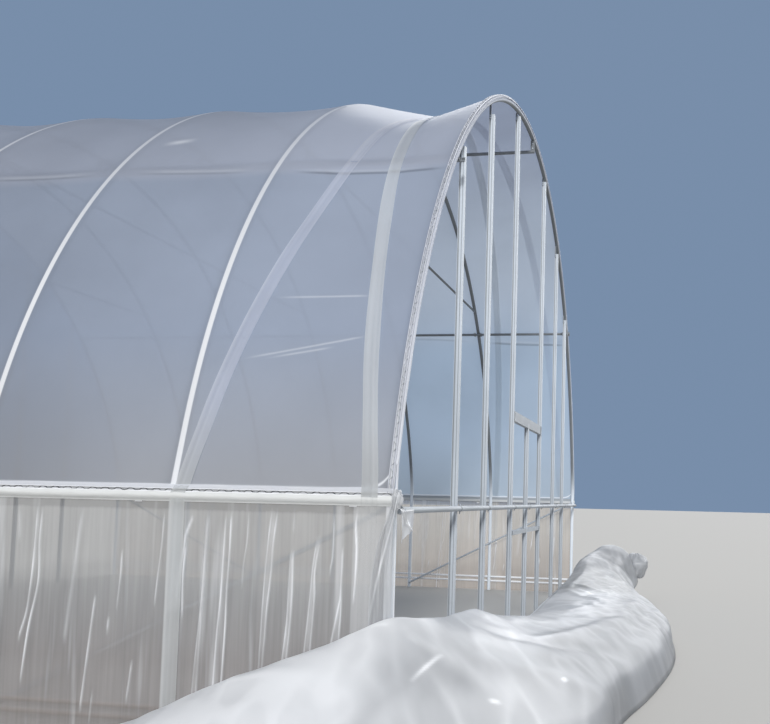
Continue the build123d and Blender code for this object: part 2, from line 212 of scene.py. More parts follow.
# Long folds on the heap: start, end, half width, height, all in metres
HEAP_FOLDS = (
    ((0.45, -4.75), (1.10, -3.95), 0.10, 0.022),
    ((0.42, -4.05), (1.18, -2.60), 0.09, -0.022),
    ((0.62, -3.70), (1.02, -1.40), 0.07, 0.024),
    ((0.30, -3.20), (0.42, -1.30), 0.10, 0.016),
    ((0.98, -2.75), (1.12, 0.20), 0.06, 0.020),
    ((1.16, -2.30), (1.24, 0.60), 0.045, -0.014),
    ((0.28, 1.10), (1.02, -1.10), 0.05, 0.018),
    ((0.34, 1.60), (1.10, 0.00), 0.035, 0.014),
    ((0.42, 2.20), (1.12, 0.70), 0.035, -0.012),
    ((0.48, 2.80), (1.06, 1.30), 0.032, 0.014),
    ((0.52, 3.50), (0.98, 2.00), 0.035, 0.014),
    ((0.36, 3.40), (0.30, 1.20), 0.05, 0.014),
    ((0.60, 3.90), (0.72, 2.50), 0.035, -0.012),
    ((-1.05, -4.82), (-0.10, -5.10), 0.06, 0.014),
    ((-0.72, -5.05), (0.30, -5.38), 0.08, -0.014),
    ((-0.15, -4.80), (0.60, -4.92), 0.07, 0.014),
)
# Mounds of the heap towards the puffed ends: middle, radius and height
HEAP_MOUNDS = (
    ((0.64, 4.16), 0.26, 0.24), ((0.45, 3.40), 0.45, 0.06), ((0.80, -0.30), 0.60, 0.03),
    ((0.15, -3.36), 0.20, 0.035),
)
# Glints on the heap: start and end of each short bright crease
HEAP_GLINTS = (
    ((0.28, -5.10), (0.36, -4.86)), ((-0.86, -4.90), (-0.45, -5.02)), ((0.62, -4.95), (0.66, -4.90)),
    ((0.86, -4.30), (0.87, -4.22)), ((0.40, 1.20), (0.95, -0.20)), ((-0.30, -4.72), (0.05, -4.78)),
)
# Puffed ends of the sheet at the far corner: middle and radius
HEAP_PUFFS = (((0.62, 4.42, 0.48), 0.20), ((0.95, 4.22, 0.45), 0.165))


def smooth_step(low, high, value):
    """Rises smoothly from 0 at low to 1 at high."""
    share = min(1, max(0, (value - low) / (high - low)))
    return share * share * (3 - 2 * share)


def bell(distance, width):
    """Bell curve of height 1."""
    return exp(-((distance / width) ** 2))


def along_points(points, value):
    """Value of the smooth line through points (place, value), which rise in place."""
    places = [place for place, _ in points]
    index = min(len(points) - 2, max(0, bisect_right(places, value) - 1))
    (x0, y0), (x1, y1) = points[index], points[index + 1]
    before = points[max(0, index - 1)]
    after = points[min(len(points) - 1, index + 2)]
    slope0 = (y1 - before[1]) / (x1 - before[0])
    slope1 = (after[1] - y0) / (after[0] - x0)
    share = min(1, max(0, (value - x0) / (x1 - x0)))
    span = x1 - x0
    rest = 1 - share
    return (
        y0 * rest * rest * (1 + 2 * share)
        + y1 * share * share * (3 - 2 * share)
        + span * slope0 * share * rest * rest
        - span * slope1 * share * share * rest
    )


class ArchPath:
    """Line across the tunnel: up the near side, on to the arc, over the ridge and down the far side."""

    def __init__(self, lift, side, foot):
        hip_rise = HIP - ARC_CENTRE
        self.radius = BOW_OUTSIDE + lift
        self.side = side
        self.foot = foot
        reach = min(1, self.radius / hypot(side, hip_rise))
        self.start = max(ARC_START, atan2(hip_rise, side) + acos(reach))
        self.bend_z = ARC_CENTRE + (self.radius - side * cos(self.start)) / sin(self.start)
        touch_y = self.radius * cos(self.start)
        touch_z = ARC_CENTRE + self.radius * sin(self.start)
        self.rise = self.bend_z - foot
        self.slope = hypot(side - touch_y, touch_z - self.bend_z)
        self.length = 2 * (self.rise + self.slope) + self.radius * (pi - 2 * self.start)

    def at(self, distance):
        """Y, Z and the outward angle above the near horizontal, at a distance from the near foot."""
        mirrored = distance > self.length / 2
        if mirrored:
            distance = self.length - distance
        if distance < self.rise:
            y, z, angle = self.side, self.foot + distance, 0
        elif distance < self.rise + self.slope:
            run = distance - self.rise
            angle = self.start
            y, z = self.side - run * sin(angle), self.bend_z + run * cos(angle)
        else:
            angle = self.start + (distance - self.rise - self.slope) / self.radius
            y, z = self.radius * cos(angle), ARC_CENTRE + self.radius * sin(angle)
        if mirrored:
            return y, z, pi - angle
        return -y, z, angle


def ball_way(u, v):
    """Direction from a ball's middle, at a share round it and a share of the way down."""
    turn, tilt = 2 * pi * u, pi * v
    return Vector((cos(turn) * sin(tilt), sin(turn) * sin(tilt), cos(tilt)))


def polar_angle(y, z):
    """Angle of a place on the arch above the near horizontal, round the arc's centre."""
    return atan2(z - ARC_CENTRE, -y)


def strap_x(name, angle):
    """X of a strap's middle at an angle on the arch."""
    return along_points(STRAP_LINES[name], degrees(angle))


def film_depth(x, angle, sizes):
    """How far the roof film lies inside the bows' outer line."""
    bay_place = (-x / BAY) % 1
    off_bow = min(bay_place, 1 - bay_place) * BAY
    off_hip = min(angle, pi - angle)
    free = smooth_step(BOW_R * 0.6, 0.22, off_bow)
    rises = smooth_step(radians(14), radians(32), off_hip)
    along = max(0, off_bow - BOW_R) / (BAY / 2 - BOW_R)
    depth = sizes.film_sag * along * (2 - along) * rises
    depth += 0.004 * noise.noise((x * 1.3, angle * 5, 3)) * free * rises
    ripple = noise.noise((x * 11, angle * 2, 8))
    depth += 0.004 * ripple * free * bell(off_hip - radians(15), radians(6))
    if -BAY < x < 0:
        span = STRAP_CROSS_X if x > STRAP_CROSS_X else -BAY - STRAP_CROSS_X
        tent = max(0, 1 - abs((x - STRAP_CROSS_X) / span))
        depth += sizes.strap_notch * tent**1.2 * bell(angle - STRAP_CROSS_ANGLE, radians(12))
        for name in STRAP_LINES:
            groove = bell(x - strap_x(name, angle), 0.06) + 0.5 * bell(x - strap_x(name, angle), 0.2)
            depth += sizes.strap_groove * groove * free * rises
    off_purlin = abs(off_hip - atan2(SIDE_PURLIN.z - ARC_CENTRE, SIDE_PURLIN.y))
    on_purlin = 2 * BOW_R - 0.003
    return min(depth, on_purlin + 0.3 * BOW_OUTSIDE * off_purlin)


def film_point(path, distance, x, sizes, lift=0.0):
    """Place on the roof film, or lift above it, at a distance along an arch path."""
    y, z, outwards = path.at(distance)
    angle = polar_angle(y, z)
    inwards = film_depth(x, angle, sizes) * smooth_step(HIP, HIP + 0.3, z) - lift
    return Vector((x, y + inwards * cos(outwards), z - inwards * sin(outwards)))


def add_node(tree, kind, inputs=None, **settings):
    """Adds a shader node, with its settings, and links or sets its inputs."""
    node = tree.nodes.new(kind)
    for key, value in settings.items():
        setattr(node, key, value)
    for key, value in (inputs or {}).items():
        if isinstance(value, NodeSocket):
            tree.links.new(value, node.inputs[key])
        else:
            node.inputs[key].default_value = value
    return node


def maths(tree, operation, *values, clamp=False):
    """Adds a Math node and gives its result."""
    node = add_node(tree, "ShaderNodeMath", dict(enumerate(values)), operation=operation, use_clamp=clamp)
    return node.outputs[0]


def ramp(tree, value, low, high, to_low=0.0, to_high=1.0):
    """Smooth change from to_low to to_high as value goes from low to high."""
    node = add_node(
        tree,
        "ShaderNodeMapRange",
        {"Value": value, "From Min": low, "From Max": high, "To Min": to_low, "To Max": to_high},
        interpolation_type="SMOOTHSTEP",
    )
    return node.outputs["Result"]


def noise_at(tree, place, scale, detail=3.0, stretch=(1, 1, 1)):
    """Cloudy value at a place, stretched along an axis by a small factor."""
    mapped = add_node(tree, "ShaderNodeMapping", {"Vector": place, "Scale": stretch})
    node = add_node(
        tree, "ShaderNodeTexNoise", {"Vector": mapped.outputs[0], "Scale": scale, "Detail": detail}
    )
    return node.outputs[0]


def mix_colours(tree, share, first, second, blend="MIX"):
    """Colour between two, or the first multiplied by the second."""
    inputs = {0: share, 6: first, 7: second}
    return add_node(tree, "ShaderNodeMix", inputs, data_type="RGBA", blend_type=blend).outputs[2]


def tinted(colour, factor):
    """Colour made lighter or darker."""
    return [factor * part for part in colour]


def rgba(colour, factor=1):
    """Colour made lighter or darker, and opaque."""
    return (*tinted(colour, factor), 1)


def split_place(tree, place):
    """X, Y and Z of a place."""
    return add_node(tree, "ShaderNodeSeparateXYZ", {0: place}).outputs


def new_material(name):
    """Empty material with an output node: gives the material, its tree, its output and object coordinates."""
    material = bpy.data.materials.new(name)
    material.use_nodes = True
    tree = material.node_tree
    tree.nodes.clear()
    output = add_node(tree, "ShaderNodeOutputMaterial")
    place = add_node(tree, "ShaderNodeTexCoord").outputs["Object"]
    return material, tree, output, place


def add_surface(tree, output, inputs):
    """Ends a material with one opaque surface."""
    surface = add_node(tree, "ShaderNodeBsdfPrincipled", inputs)
    tree.links.new(surface.outputs[0], output.inputs[0])


def metal_material(name, colour, roughness, spangle=0.08, metallic=0.35, ground_darkening=0.0):
    """Dull metal with a faint spangle, stains and small scratches, and darker towards the ground."""
    material, tree, output, place = new_material(name)
    crystals = add_node(tree, "ShaderNodeTexVoronoi", {"Vector": place, "Scale": 55.0})
    patches = noise_at(tree, place, 1.7, 4)
    marks = noise_at(tree, place, 18, 5, (0.25, 0.25, 1))
    tone = maths(tree, "MULTIPLY", crystals.outputs["Distance"], spangle)
    tone = maths(tree, "ADD", tone, ramp(tree, patches, 0.35, 0.7, 0.0, 0.22))
    tone = maths(tree, "ADD", tone, ramp(tree, marks, 0.62, 0.8, 0.0, 0.15), clamp=True)
    if ground_darkening:
        # Darker from 3.6 m down towards the ground
        z = split_place(tree, place)[2]
        tone = maths(tree, "ADD", tone, ramp(tree, z, 3.6, 0.3, 0.0, ground_darkening), clamp=True)
    shiny = maths(tree, "MULTIPLY_ADD", patches, 0.22, roughness - 0.11)
    bump = add_node(tree, "ShaderNodeBump", {"Height": marks, "Strength": 0.15, "Distance": 0.001})
    body = mix_colours(tree, tone, rgba(colour), rgba(colour, 0.62))
    inputs = {"Base Color": body, "Metallic": metallic, "Roughness": shiny, "Normal": bump.outputs[0]}
    add_surface(tree, output, inputs)
    return material


def bow_material(name, colour):
    """Bow tube: legs lightened as painted light, painted shade over the top, and film round the outside of
    the end bows.
    """
    material, tree, output, place = new_material(name)
    x, y, z = split_place(tree, place)
    # Painted light and shade: the legs are lightened and the tube is darker from the hip up; dull is the
    # share of painted shade
    dull = ramp(tree, z, HIP - 0.1, HIP + 0.5)
    spots = ramp(tree, noise_at(tree, place, 40, 4), 0.35, 0.7, 0.0, 0.25)
    lit_legs = mix_colours(tree, spots, rgba(colour, 2.1), rgba(colour, 1.8))
    top = mix_colours(tree, spots, rgba(colour, 0.58), rgba(colour, 0.44))
    up = maths(tree, "SUBTRACT", z, ARC_CENTRE)
    squares = maths(tree, "MULTIPLY_ADD", y, y, maths(tree, "MULTIPLY", up, up))
    reach = maths(tree, "SQRT", squares)
    outer = ramp(tree, reach, BOW_OUTSIDE - 1.6 * BOW_R, BOW_OUTSIDE - 1.3 * BOW_R)
    at_end = ramp(tree, maths(tree, "PINGPONG", x, LENGTH / 2), BOW_R * 1.3, BOW_R * 1.1)
    wrapped = maths(tree, "MULTIPLY", outer, at_end)
    body = mix_colours(tree, wrapped, mix_colours(tree, dull, lit_legs, top), (0.60, 0.64, 0.72, 1))
    add_surface(tree, output, {"Base Color": body, "Roughness": 0.75, "Specular IOR Level": 0.15})
    return material


def wire_material(name, dark, pale):
    """Lock wire that film hides here and there, so that it shows in short dark dashes."""
    material, tree, output, place = new_material(name)
    hidden = ramp(tree, noise_at(tree, place, 7, 2), 0.50, 0.60)
    colour = mix_colours(tree, hidden, rgba(dark), rgba(pale))
    add_surface(tree, output, {"Base Color": colour, "Roughness": 0.4})
    return material


def base_rail_material(name, inner, outer):
    """Base rails: made bright as painted light on the side that faces the beds, darker on the side under the
    film in the curtain's colour near the ground, with dust.
    """
    material, tree, output, place = new_material(name)
    y = split_place(tree, place)[1]
    middle = (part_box("far_base_rails")[0].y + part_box("far_base_rails")[1].y) / 2
    # Painted light: the side that faces the beds is made bright, the side under the film keeps the darker
    # curtain colour
    outside = ramp(tree, maths(tree, "ABSOLUTE", y), middle - 0.002, middle + 0.004)
    dust = ramp(tree, noise_at(tree, place, 9, 5, (0.4, 1, 1)), 0.4, 0.8, 0.0, 0.3)
    bright = mix_colours(tree, dust, rgba(inner), rgba(inner, 0.8))
    body = mix_colours(tree, outside, bright, rgba(outer))
    add_surface(tree, output, {"Base Color": body, "Roughness": 0.5})
    return material


def rail_material(name, outside, inside):
    """Hip rails: white paint on the outer side and low on the inner side, dull steel as painted shade over
    the upper inner side, with rubbed marks.
    """
    material, tree, output, place = new_material(name)
    _, y, z = split_place(tree, place)
    outer = ramp(tree, maths(tree, "ABSOLUTE", y), RAIL_OUT - 0.030, RAIL_OUT - 0.022)
    # Painted shade: the inner side stays dark steel only over its upper part, and is white below
    outer = maths(tree, "ADD", outer, ramp(tree, z, HIP - 0.030, HIP - 0.036, 0.0, 0.7), clamp=True)
    rubbed = ramp(tree, noise_at(tree, place, 6, 5, (0.3, 1, 1)), 0.5, 0.8, 0.0, 0.35)
    paint = mix_colours(tree, rubbed, rgba(outside), rgba(outside, 0.8))
    add_surface(tree, output, {"Base Color": mix_colours(tree, outer, rgba(inside), paint), "Roughness": 0.5})
    return material


def stripe(tree, value, middle, half, height=1.0):
    """Soft band round a value, height high in its middle."""
    off = maths(tree, "ABSOLUTE", maths(tree, "SUBTRACT", value, middle))
    return ramp(tree, off, half, 0.0, 0.0, height)


def height_tint(tree, place, tones):
    """Colour by height above the ground: tones are heights in metres with their colours."""
    up = split_place(tree, place)[2]
    node = add_node(tree, "ShaderNodeValToRGB", {0: maths(tree, "DIVIDE", up, RIDGE)})
    stops = node.color_ramp.elements
    while len(stops) < len(tones):
        stops.new(0.5)
    for stop, (height, colour) in zip(stops, tones):
        stop.position = height / RIDGE
        stop.color = (*colour, 1)
    return node.outputs[0]


def film_material(
    name, colour, opacity, whitened, roughness=0.3, crinkle=0.3, marks=None, tones=None, streaks=0.0,
    glow_share=0.45, backlit=0.0, shine=0.5,
):
    """Translucent film, whiter and denser where it is folded, with the painted highlights and painted shade
    that marks gives, such as where it touches a tube.
    """
    material, tree, output, place = new_material(name)
    folded = add_node(tree, "ShaderNodeAttribute", attribute_name="fold").outputs["Fac"]
    clouds = noise_at(tree, place, 0.8, 4)
    grain = noise_at(tree, place, 9, 6, (1, 1, 0.5))
    dull = ramp(tree, clouds, 0.3, 0.75, 0.0, 0.35)
    body = height_tint(tree, place, tones) if tones else rgba(colour)
    if backlit:
        _, y, z = split_place(tree, place)
        sky = mix_colours(tree, ramp(tree, z, 3.2, 4.3), *SKY_BEHIND)
        body = mix_colours(tree, ramp(tree, y, -0.6, 2.6, 0.0, backlit), body, sky)
    # marks gives painted highlights, which join folded, and painted shade, which joins dull
    if marks:
        white, shaded = marks(tree, place)
        folded = maths(tree, "ADD", folded, white, clamp=True)
        dull = maths(tree, "ADD", dull, shaded, clamp=True)
    if streaks:
        upright = noise_at(tree, place, 55, 3, (1, 0, 0.03))
        dull = maths(tree, "ADD", dull, ramp(tree, upright, 0.35, 0.7, 0.0, streaks), clamp=True)
        broad = noise_at(tree, place, 10, 3, (1, 0, 0.06))
        dull = maths(tree, "ADD", dull, ramp(tree, broad, 0.35, 0.6, 0.0, streaks * 1.4), clamp=True)
        folded = maths(tree, "ADD", folded, ramp(tree, broad, 0.55, 0.75, 0.0, streaks * 2), clamp=True)
    darker = mix_colours(tree, dull, body, (0.62, 0.62, 0.62, 1), blend="MULTIPLY")
    body = mix_colours(tree, folded, darker, rgba(whitened))
    density = maths(tree, "MULTIPLY_ADD", clouds, 0.12, opacity - 0.06)
    density = maths(tree, "MULTIPLY_ADD", folded, (1 - opacity) * 0.8, density, clamp=True)
    bump = add_node(tree, "ShaderNodeBump", {"Height": grain, "Strength": crinkle, "Distance": 0.004})
    gloss = add_node(
        tree,
        "ShaderNodeBsdfPrincipled",
        {"Base Color": body, "Roughness": roughness, "Specular IOR Level": shine, "Normal": bump.outputs[0]},
    )
    glow = add_node(tree, "ShaderNodeBsdfTranslucent", {"Color": body, "Normal": bump.outputs[0]})
    glowing = maths(tree, "MULTIPLY_ADD", folded, -0.7 * glow_share, glow_share)
    scatter = add_node(tree, "ShaderNodeMixShader", {0: glowing, 1: gloss.outputs[0], 2: glow.outputs[0]})
    clear = add_node(tree, "ShaderNodeBsdfTransparent")
    surface = add_node(tree, "ShaderNodeMixShader", {0: density, 1: clear.outputs[0], 2: scatter.outputs[0]})
    tree.links.new(surface.outputs[0], output.inputs[0])
    return material


def roof_painted_light(tree, place):
    """Painted light and shade on the roof film: painted highlights on the bows and side purlins, white
    creases and a painted sun glint, and painted shade below the purlins, with darker back bays.
    """
    x, y, z = split_place(tree, place)
    off_bow = maths(tree, "PINGPONG", x, BAY / 2)
    # Painted highlight where the film lies on a bow, weaker near the top
    on_bow = ramp(tree, off_bow, BOW_R * 1.0, BOW_R * 0.55)
    white = maths(tree, "MULTIPLY", on_bow, ramp(tree, z, RIDGE - 0.5, HIP + 1.0, 0.4, 0.9))
    mid_bay = ramp(tree, off_bow, 0.12, 0.42)
    below = maths(tree, "ADD", z, ramp(tree, x, -2.2, -0.3, 0.042, 0.122))
    # Painted highlight just above each side purlin, and painted shade just below it
    purlin = stripe(tree, below, SIDE_PURLIN.z + 0.022, 0.03, 0.14)
    white = maths(tree, "MULTIPLY_ADD", purlin, mid_bay, white)
    front_bay = maths(tree, "MULTIPLY", ramp(tree, x, -BAY + 0.1, -BAY + 0.35), ramp(tree, x, 0.0, -0.2))
    strength = maths(tree, "MAXIMUM", maths(tree, "MULTIPLY", mid_bay, 0.4), front_bay)
    shaded = maths(tree, "MULTIPLY", stripe(tree, below, SIDE_PURLIN.z, 0.021, 1.1), strength)
    # Darker towards the back bays, most near the hips
    back_bays = ramp(tree, x, -BAY - 0.1, -2 * BAY)
    shaded = maths(tree, "MULTIPLY_ADD", back_bays, ramp(tree, z, HIP + 0.1, HIP + 1.0, 0.55, 0.2), shaded)
    # Painted sun glint on the near side of the second bay
    sun_glint = maths(tree, "MULTIPLY_ADD", x, -0.26, z)
    sun_glint = stripe(tree, sun_glint, SUN_GLINT_PLACE[1] - 0.26 * SUN_GLINT_PLACE[0], 0.05, 0.4)
    sun_glint = maths(tree, "MULTIPLY", sun_glint, stripe(tree, x, SUN_GLINT_PLACE[0], 0.13))
    white = maths(tree, "MULTIPLY_ADD", sun_glint, ramp(tree, y, 0.0, -0.5), white)
    for height, slope, low, high in FILM_CREASES:
        off = maths(tree, "MULTIPLY_ADD", x, -slope, z)
        ends = maths(tree, "MULTIPLY", ramp(tree, x, low, low + 0.2), ramp(tree, x, high, high - 0.12))
        ends = maths(tree, "MULTIPLY", ends, ramp(tree, y, 0.0, -0.5))
        white = maths(tree, "MULTIPLY_ADD", stripe(tree, off, height, 0.011, 0.3), ends, white)
    sweep_up = maths(tree, "EXPONENT", maths(tree, "MULTIPLY", x, 1 / 0.045))
    off = maths(tree, "MULTIPLY_ADD", sweep_up, -0.11, z)
    white = maths(tree, "ADD", white, stripe(tree, off, HIP + 0.012, 0.016, 0.8), clamp=True)
    return white, shaded


def curtain_whites_and_shade(tree, place):
    """How white a side curtain is on its hip rail, on a leg and near the near front corner, and its shade: a
    painted shadow just under the rail, darker upper back bays and painted shade over the far side's front
    bay.
    """
    x, y, z = split_place(tree, place)
    on_rail = ramp(tree, z, RAIL_BOTTOM - 0.004, RAIL_BOTTOM + 0.010)
    off_leg = maths(tree, "PINGPONG", x, BAY / 2)
    on_leg = ramp(tree, off_leg, BOW_R * 1.15, BOW_R * 0.75, 0.0, 0.45)
    near, far = ramp(tree, y, 0.5, -0.5), ramp(tree, y, -0.5, 0.5)
    whitening = maths(tree, "MULTIPLY", ramp(tree, x, -0.20, -0.19, 0.0, 0.28), near)
    white = maths(tree, "ADD", maths(tree, "ADD", on_rail, on_leg), whitening, clamp=True)
    # Darker in the upper part of the back bays
    back_bays = maths(tree, "MULTIPLY", ramp(tree, x, -BAY, -BAY - 0.5, 0.0, 0.15), ramp(tree, z, 0.3, 0.9))
    # Painted shade over the far side's front bay
    front_bay = maths(tree, "MULTIPLY", ramp(tree, x, -1.15, -0.85, 0.0, 0.4), far)
    # Painted shadow just under the hip rail
    shaded = maths(tree, "ADD", stripe(tree, z, RAIL_BOTTOM - 0.020, 0.042, 1.4), back_bays)
    return white, maths(tree, "ADD", shaded, front_bay)


def finish_mesh(bm, name, material, replaced=(), smooth=True):
    """Makes the piece's object from its bmesh, with its finish, and puts it on the tunnel."""
    mesh = bpy.data.meshes.new(name)
    for face in bm.faces:
        face.smooth = smooth
    bm.to_mesh(mesh)
    bm.free()
    mesh.materials.append(material)
    piece = bpy.data.objects.new(name, mesh)
    bpy.context.scene.collection.objects.link(piece)
    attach(piece, BODY)
    if replaced:
        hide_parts(*replaced)
    return piece


def film_grid(columns, rows, place):
    """Grid of film: place(u, v) gives each point's place and how folded the film is there."""
    bm = bmesh.new()
    bm.loops.layers.uv.new("UVMap")
    bmesh.ops.create_grid(bm, x_segments=columns, y_segments=rows, size=0.5, calc_uvs=True)
    fold = bm.verts.layers.float.new("fold")
    for vert in bm.verts:
        vert.co, vert[fold] = place(vert.co.x + 0.5, vert.co.y + 0.5)
    bmesh.ops.recalc_face_normals(bm, faces=bm.faces)
    return bm


def film_ball(columns, rows, place, merge):
    """Grid of film closed into a ball, with the points that are nearer than merge joined."""
    bm = film_grid(columns, rows, place)
    bmesh.ops.remove_doubles(bm, verts=bm.verts, dist=merge)
    bmesh.ops.recalc_face_normals(bm, faces=bm.faces)
    return bm


def sweep(bm, outline, stations):
    """Runs an outline, given in its own X and Y, through the stations, which are matrices."""
    sides = len(outline)
    rows = len(stations) - 1
    made = bmesh.ops.create_grid(bm, x_segments=sides, y_segments=rows, size=0.5)["verts"]
    for vert in made:
        x, y = outline[round((vert.co.x + 0.5) * sides) % sides]
        vert.co = stations[round((vert.co.y + 0.5) * rows)] @ Vector((x, y, 0))
    bmesh.ops.remove_doubles(bm, verts=made, dist=0.00001)
    rims = {edge for vert in made if vert.is_valid for edge in vert.link_edges if edge.is_boundary}
    bmesh.ops.holes_fill(bm, edges=list(rims), sides=0)


def round_outline(radius, sides):
    """Circle as an outline."""
    return [(radius * cos(2 * pi * k / sides), radius * sin(2 * pi * k / sides)) for k in range(sides)]


def box_outline(width, height):
    """Rectangle as an outline."""
    right, top = width / 2, height / 2
    return [(-right, -top), (right, -top), (right, top), (-right, top)]


def facing(origin, forward, up):
    """Matrix whose Z looks forward and whose Y is near up."""
    z = Vector(forward).normalized()
    x = Vector(up).cross(z).normalized()
    y = z.cross(x)
    matrix = Matrix((x, y, z)).transposed().to_4x4()
    matrix.translation = origin
    return matrix


def add_bar(bm, outline, start, end, up=(0, 0, 1)):
    """Straight bar from start to end."""
    forward = Vector(end) - Vector(start)
    sweep(bm, outline, [facing(start, forward, up), facing(end, forward, up)])


def add_bolt(bm, place, way, size):
    """Hexagon head with its washer, looking along way."""
    way = Vector(way).normalized()
    up = (1, 0, 0) if abs(way.z) > 0.9 else (0, 0, 1)
    washer_top = Vector(place) + way * size * 0.2
    add_bar(bm, round_outline(size * 1.15, 12), place, washer_top, up)
    add_bar(bm, round_outline(size, 6), washer_top, Vector(place) + way * size * 0.85, up)


def size_property(name, description, default, low, high):
    """Length in metres that the panel shows, with its limits."""
    return FloatProperty(
        name=name, description=description, default=default, min=low, max=high, unit="LENGTH"
    )


def colour_property(name, description, default):
    """Colour that the panel shows."""
    return FloatVectorProperty(
        name=name, description=description, default=default, min=0, max=1, subtype="COLOR"
    )


class TunnelSizes(PropertyGroup):
    """Sizes of the film's sags and of the small fittings."""

    film_sag: size_property("Film sag", "How far the roof film sags between two bows", 0.034, 0, 0.1)
    strap_notch: size_property(
        "Strap notch", "How far the crossed straps pull the film in where they cross", 0.12, 0, 0.3
    )
    strap_groove: size_property(
        "Strap groove", "How far a strap presses into the film along its way", 0.008, 0, 0.05
    )
    strap_width: size_property("Strap width", "Width of a gathered strap", 0.088, 0.02, 0.3)
    wire_pitch: size_property("Wire pitch", "Length of one zigzag of the lock wire", 0.076, 0.02, 0.3)
    wire_thickness: size_property("Wire thickness", "Thickness of the lock wire", 0.0056, 0.001, 0.01)


class TunnelColours(PropertyGroup):
    """Colours of the film and of the metal."""

    roof: colour_property("Roof film", "Colour of the roof film", (0.415, 0.47, 0.585))
    roof_low: colour_property(
        "Roof film at the hips", "Colour of the roof film near the hips", (0.445, 0.45, 0.475)
    )
    roof_top: colour_property(
        "Roof film at the top", "Colour of the roof film above the purlins", (0.485, 0.525, 0.63)
    )
    curtain: colour_property("Curtain film", "Colour of the side curtains", (0.63, 0.62, 0.605))
    # Darker and browner near the ground, painted for the ground seen through the film
    curtain_low: colour_property(
        "Curtain near the ground", "Colour of the side curtains near the ground", (0.50, 0.46, 0.435)
    )
    strap: colour_property("Straps", "Colour of the gathered straps", (0.76, 0.785, 0.86))
    sheet: colour_property("Loose sheet", "Colour of the crumpled loose sheet", (0.54, 0.55, 0.565))
    # Also the colour of the painted highlights where film touches a tube
    folded: colour_property(
        "Folded film", "Colour of film that is folded or touches a tube", (0.93, 0.94, 0.96)
    )
    bright_steel: colour_property(
        "Bright steel", "Colour of the studs and rails of the ends", (0.70, 0.755, 0.81)
    )
    steel: colour_property("Dull steel", "Colour of the bows, purlins, ties and braces", (0.40, 0.43, 0.46))
    # Near black: the wire's own colour darkened with painted shade of the channel round it
    wire: colour_property("Lock wire", "Colour of the dark lock wire", (0.10, 0.11, 0.12))
    rail: colour_property("White rails", "Colour of the hip rails and base rails", (0.79, 0.80, 0.79))


class POLYTUNNEL_OT_finish_tubes(Operator):
    """Give the tubes, studs and rails of the frame their metal and paint"""

    bl_idname = "polytunnel.finish_tubes"
    bl_label = "Finish tubes and rails"

    def execute(self, context):
        colours = context.scene.polytunnel_colours
        steel = metal_material("galvanised tube", tinted(colours.bright_steel, 0.60), 0.6, metallic=0.0)
        bow_steel = bow_material("bow tube", colours.steel)
        brace_steel = metal_material("brace tube", tinted(colours.steel, 1.4), 0.48)
        white = rail_material("white rail", colours.rail, colours.steel)
        base = base_rail_material("base rail", colours.folded, colours.curtain_low)
        finishes = (
            ("hip_rail", white), ("base_rails", base), ("braces", brace_steel),
            (("purlin", "hangers", "ties"), bow_steel), ("", steel),
        )
        for name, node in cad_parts.items():
            finish = next(material for ending, material in finishes if name.endswith(ending))
            node.data.materials.clear()
            node.data.materials.append(bow_steel if name.startswith("bow_") else finish)
        return {"FINISHED"}


def stud_reach(kind):
    """Distance of a pair of studs from the tunnel's middle, to their own middles."""
    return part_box(f"front_{kind}")[1].y - STUD.y


def stud_top(kind):
    """Height of a pair of studs: under the inside of the end bow, at their outer faces."""
    edge = stud_reach(kind) + STUD.y
    return ARC_CENTRE + ((BOW_OUTSIDE - 2 * BOW_R) ** 2 - edge**2) ** 0.5 - STUD_GAPS[kind]


def stud_outline(hand):
    """Outline of an end stud: a box of folded sheet with two slots in its near and far faces."""
    front, side = STUD.xy
    lip, wide, deep = 0.003, 0.010, 0.012
    middle, slot, shallow = 0.006, 0.005, 0.004
    face = [
        (-front, side), (-front + lip, side), (-front + lip, side - deep), (-front + lip + wide, side - deep),
        (-front + lip + wide, side), (middle, side), (middle, side - shallow),
        (middle + slot, side - shallow),
        (middle + slot, side), (front, side),
    ]
    outline = face + [(x, -y) for x, y in reversed(face)]
    return [(hand * x, y) for x, y in outline]


class POLYTUNNEL_OT_end_studs(Operator):
    """Stand the slotted studs and posts in both ends"""

    bl_idname = "polytunnel.end_studs"
    bl_label = "End studs"

    def execute(self, context):
        colours = context.scene.polytunnel_colours
        steel = metal_material("stud sheet", colours.bright_steel, 0.62, metallic=0.0, ground_darkening=0.7)
        # Painted shade: a darker copy of the stud's steel for the faces inside its slots
        shade = metal_material("stud slot shade", tinted(colours.steel, 1.1), 0.6, metallic=0.0, ground_darkening=0.5)
        for side, x, hand in ENDS:
            for kind in (*STUD_KINDS, "centre_post"):
                name = f"{side}_{kind}"
                reach = stud_reach(kind)
                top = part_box(name)[1].z if kind == "centre_post" else stud_top(kind)
                bm = bmesh.new()
                for y in sorted({-reach, reach}):
                    add_bar(bm, stud_outline(hand), (x, y, 0.0), (x, y, top), (0, 1, 0))
                bmesh.ops.recalc_face_normals(bm, faces=bm.faces)
                for face in bm.faces:
                    off = abs(abs(face.calc_center_median().y) - reach)
                    # Faces inside the slots take the painted shade
                    if 0.003 < off < STUD.y - 0.001 and abs(face.normal.z) < 0.5:
                        face.material_index = 1
                piece = finish_mesh(bm, f"{name}_slotted", steel, [name], smooth=False)
                piece.data.materials.append(shade)
        return {"FINISHED"}


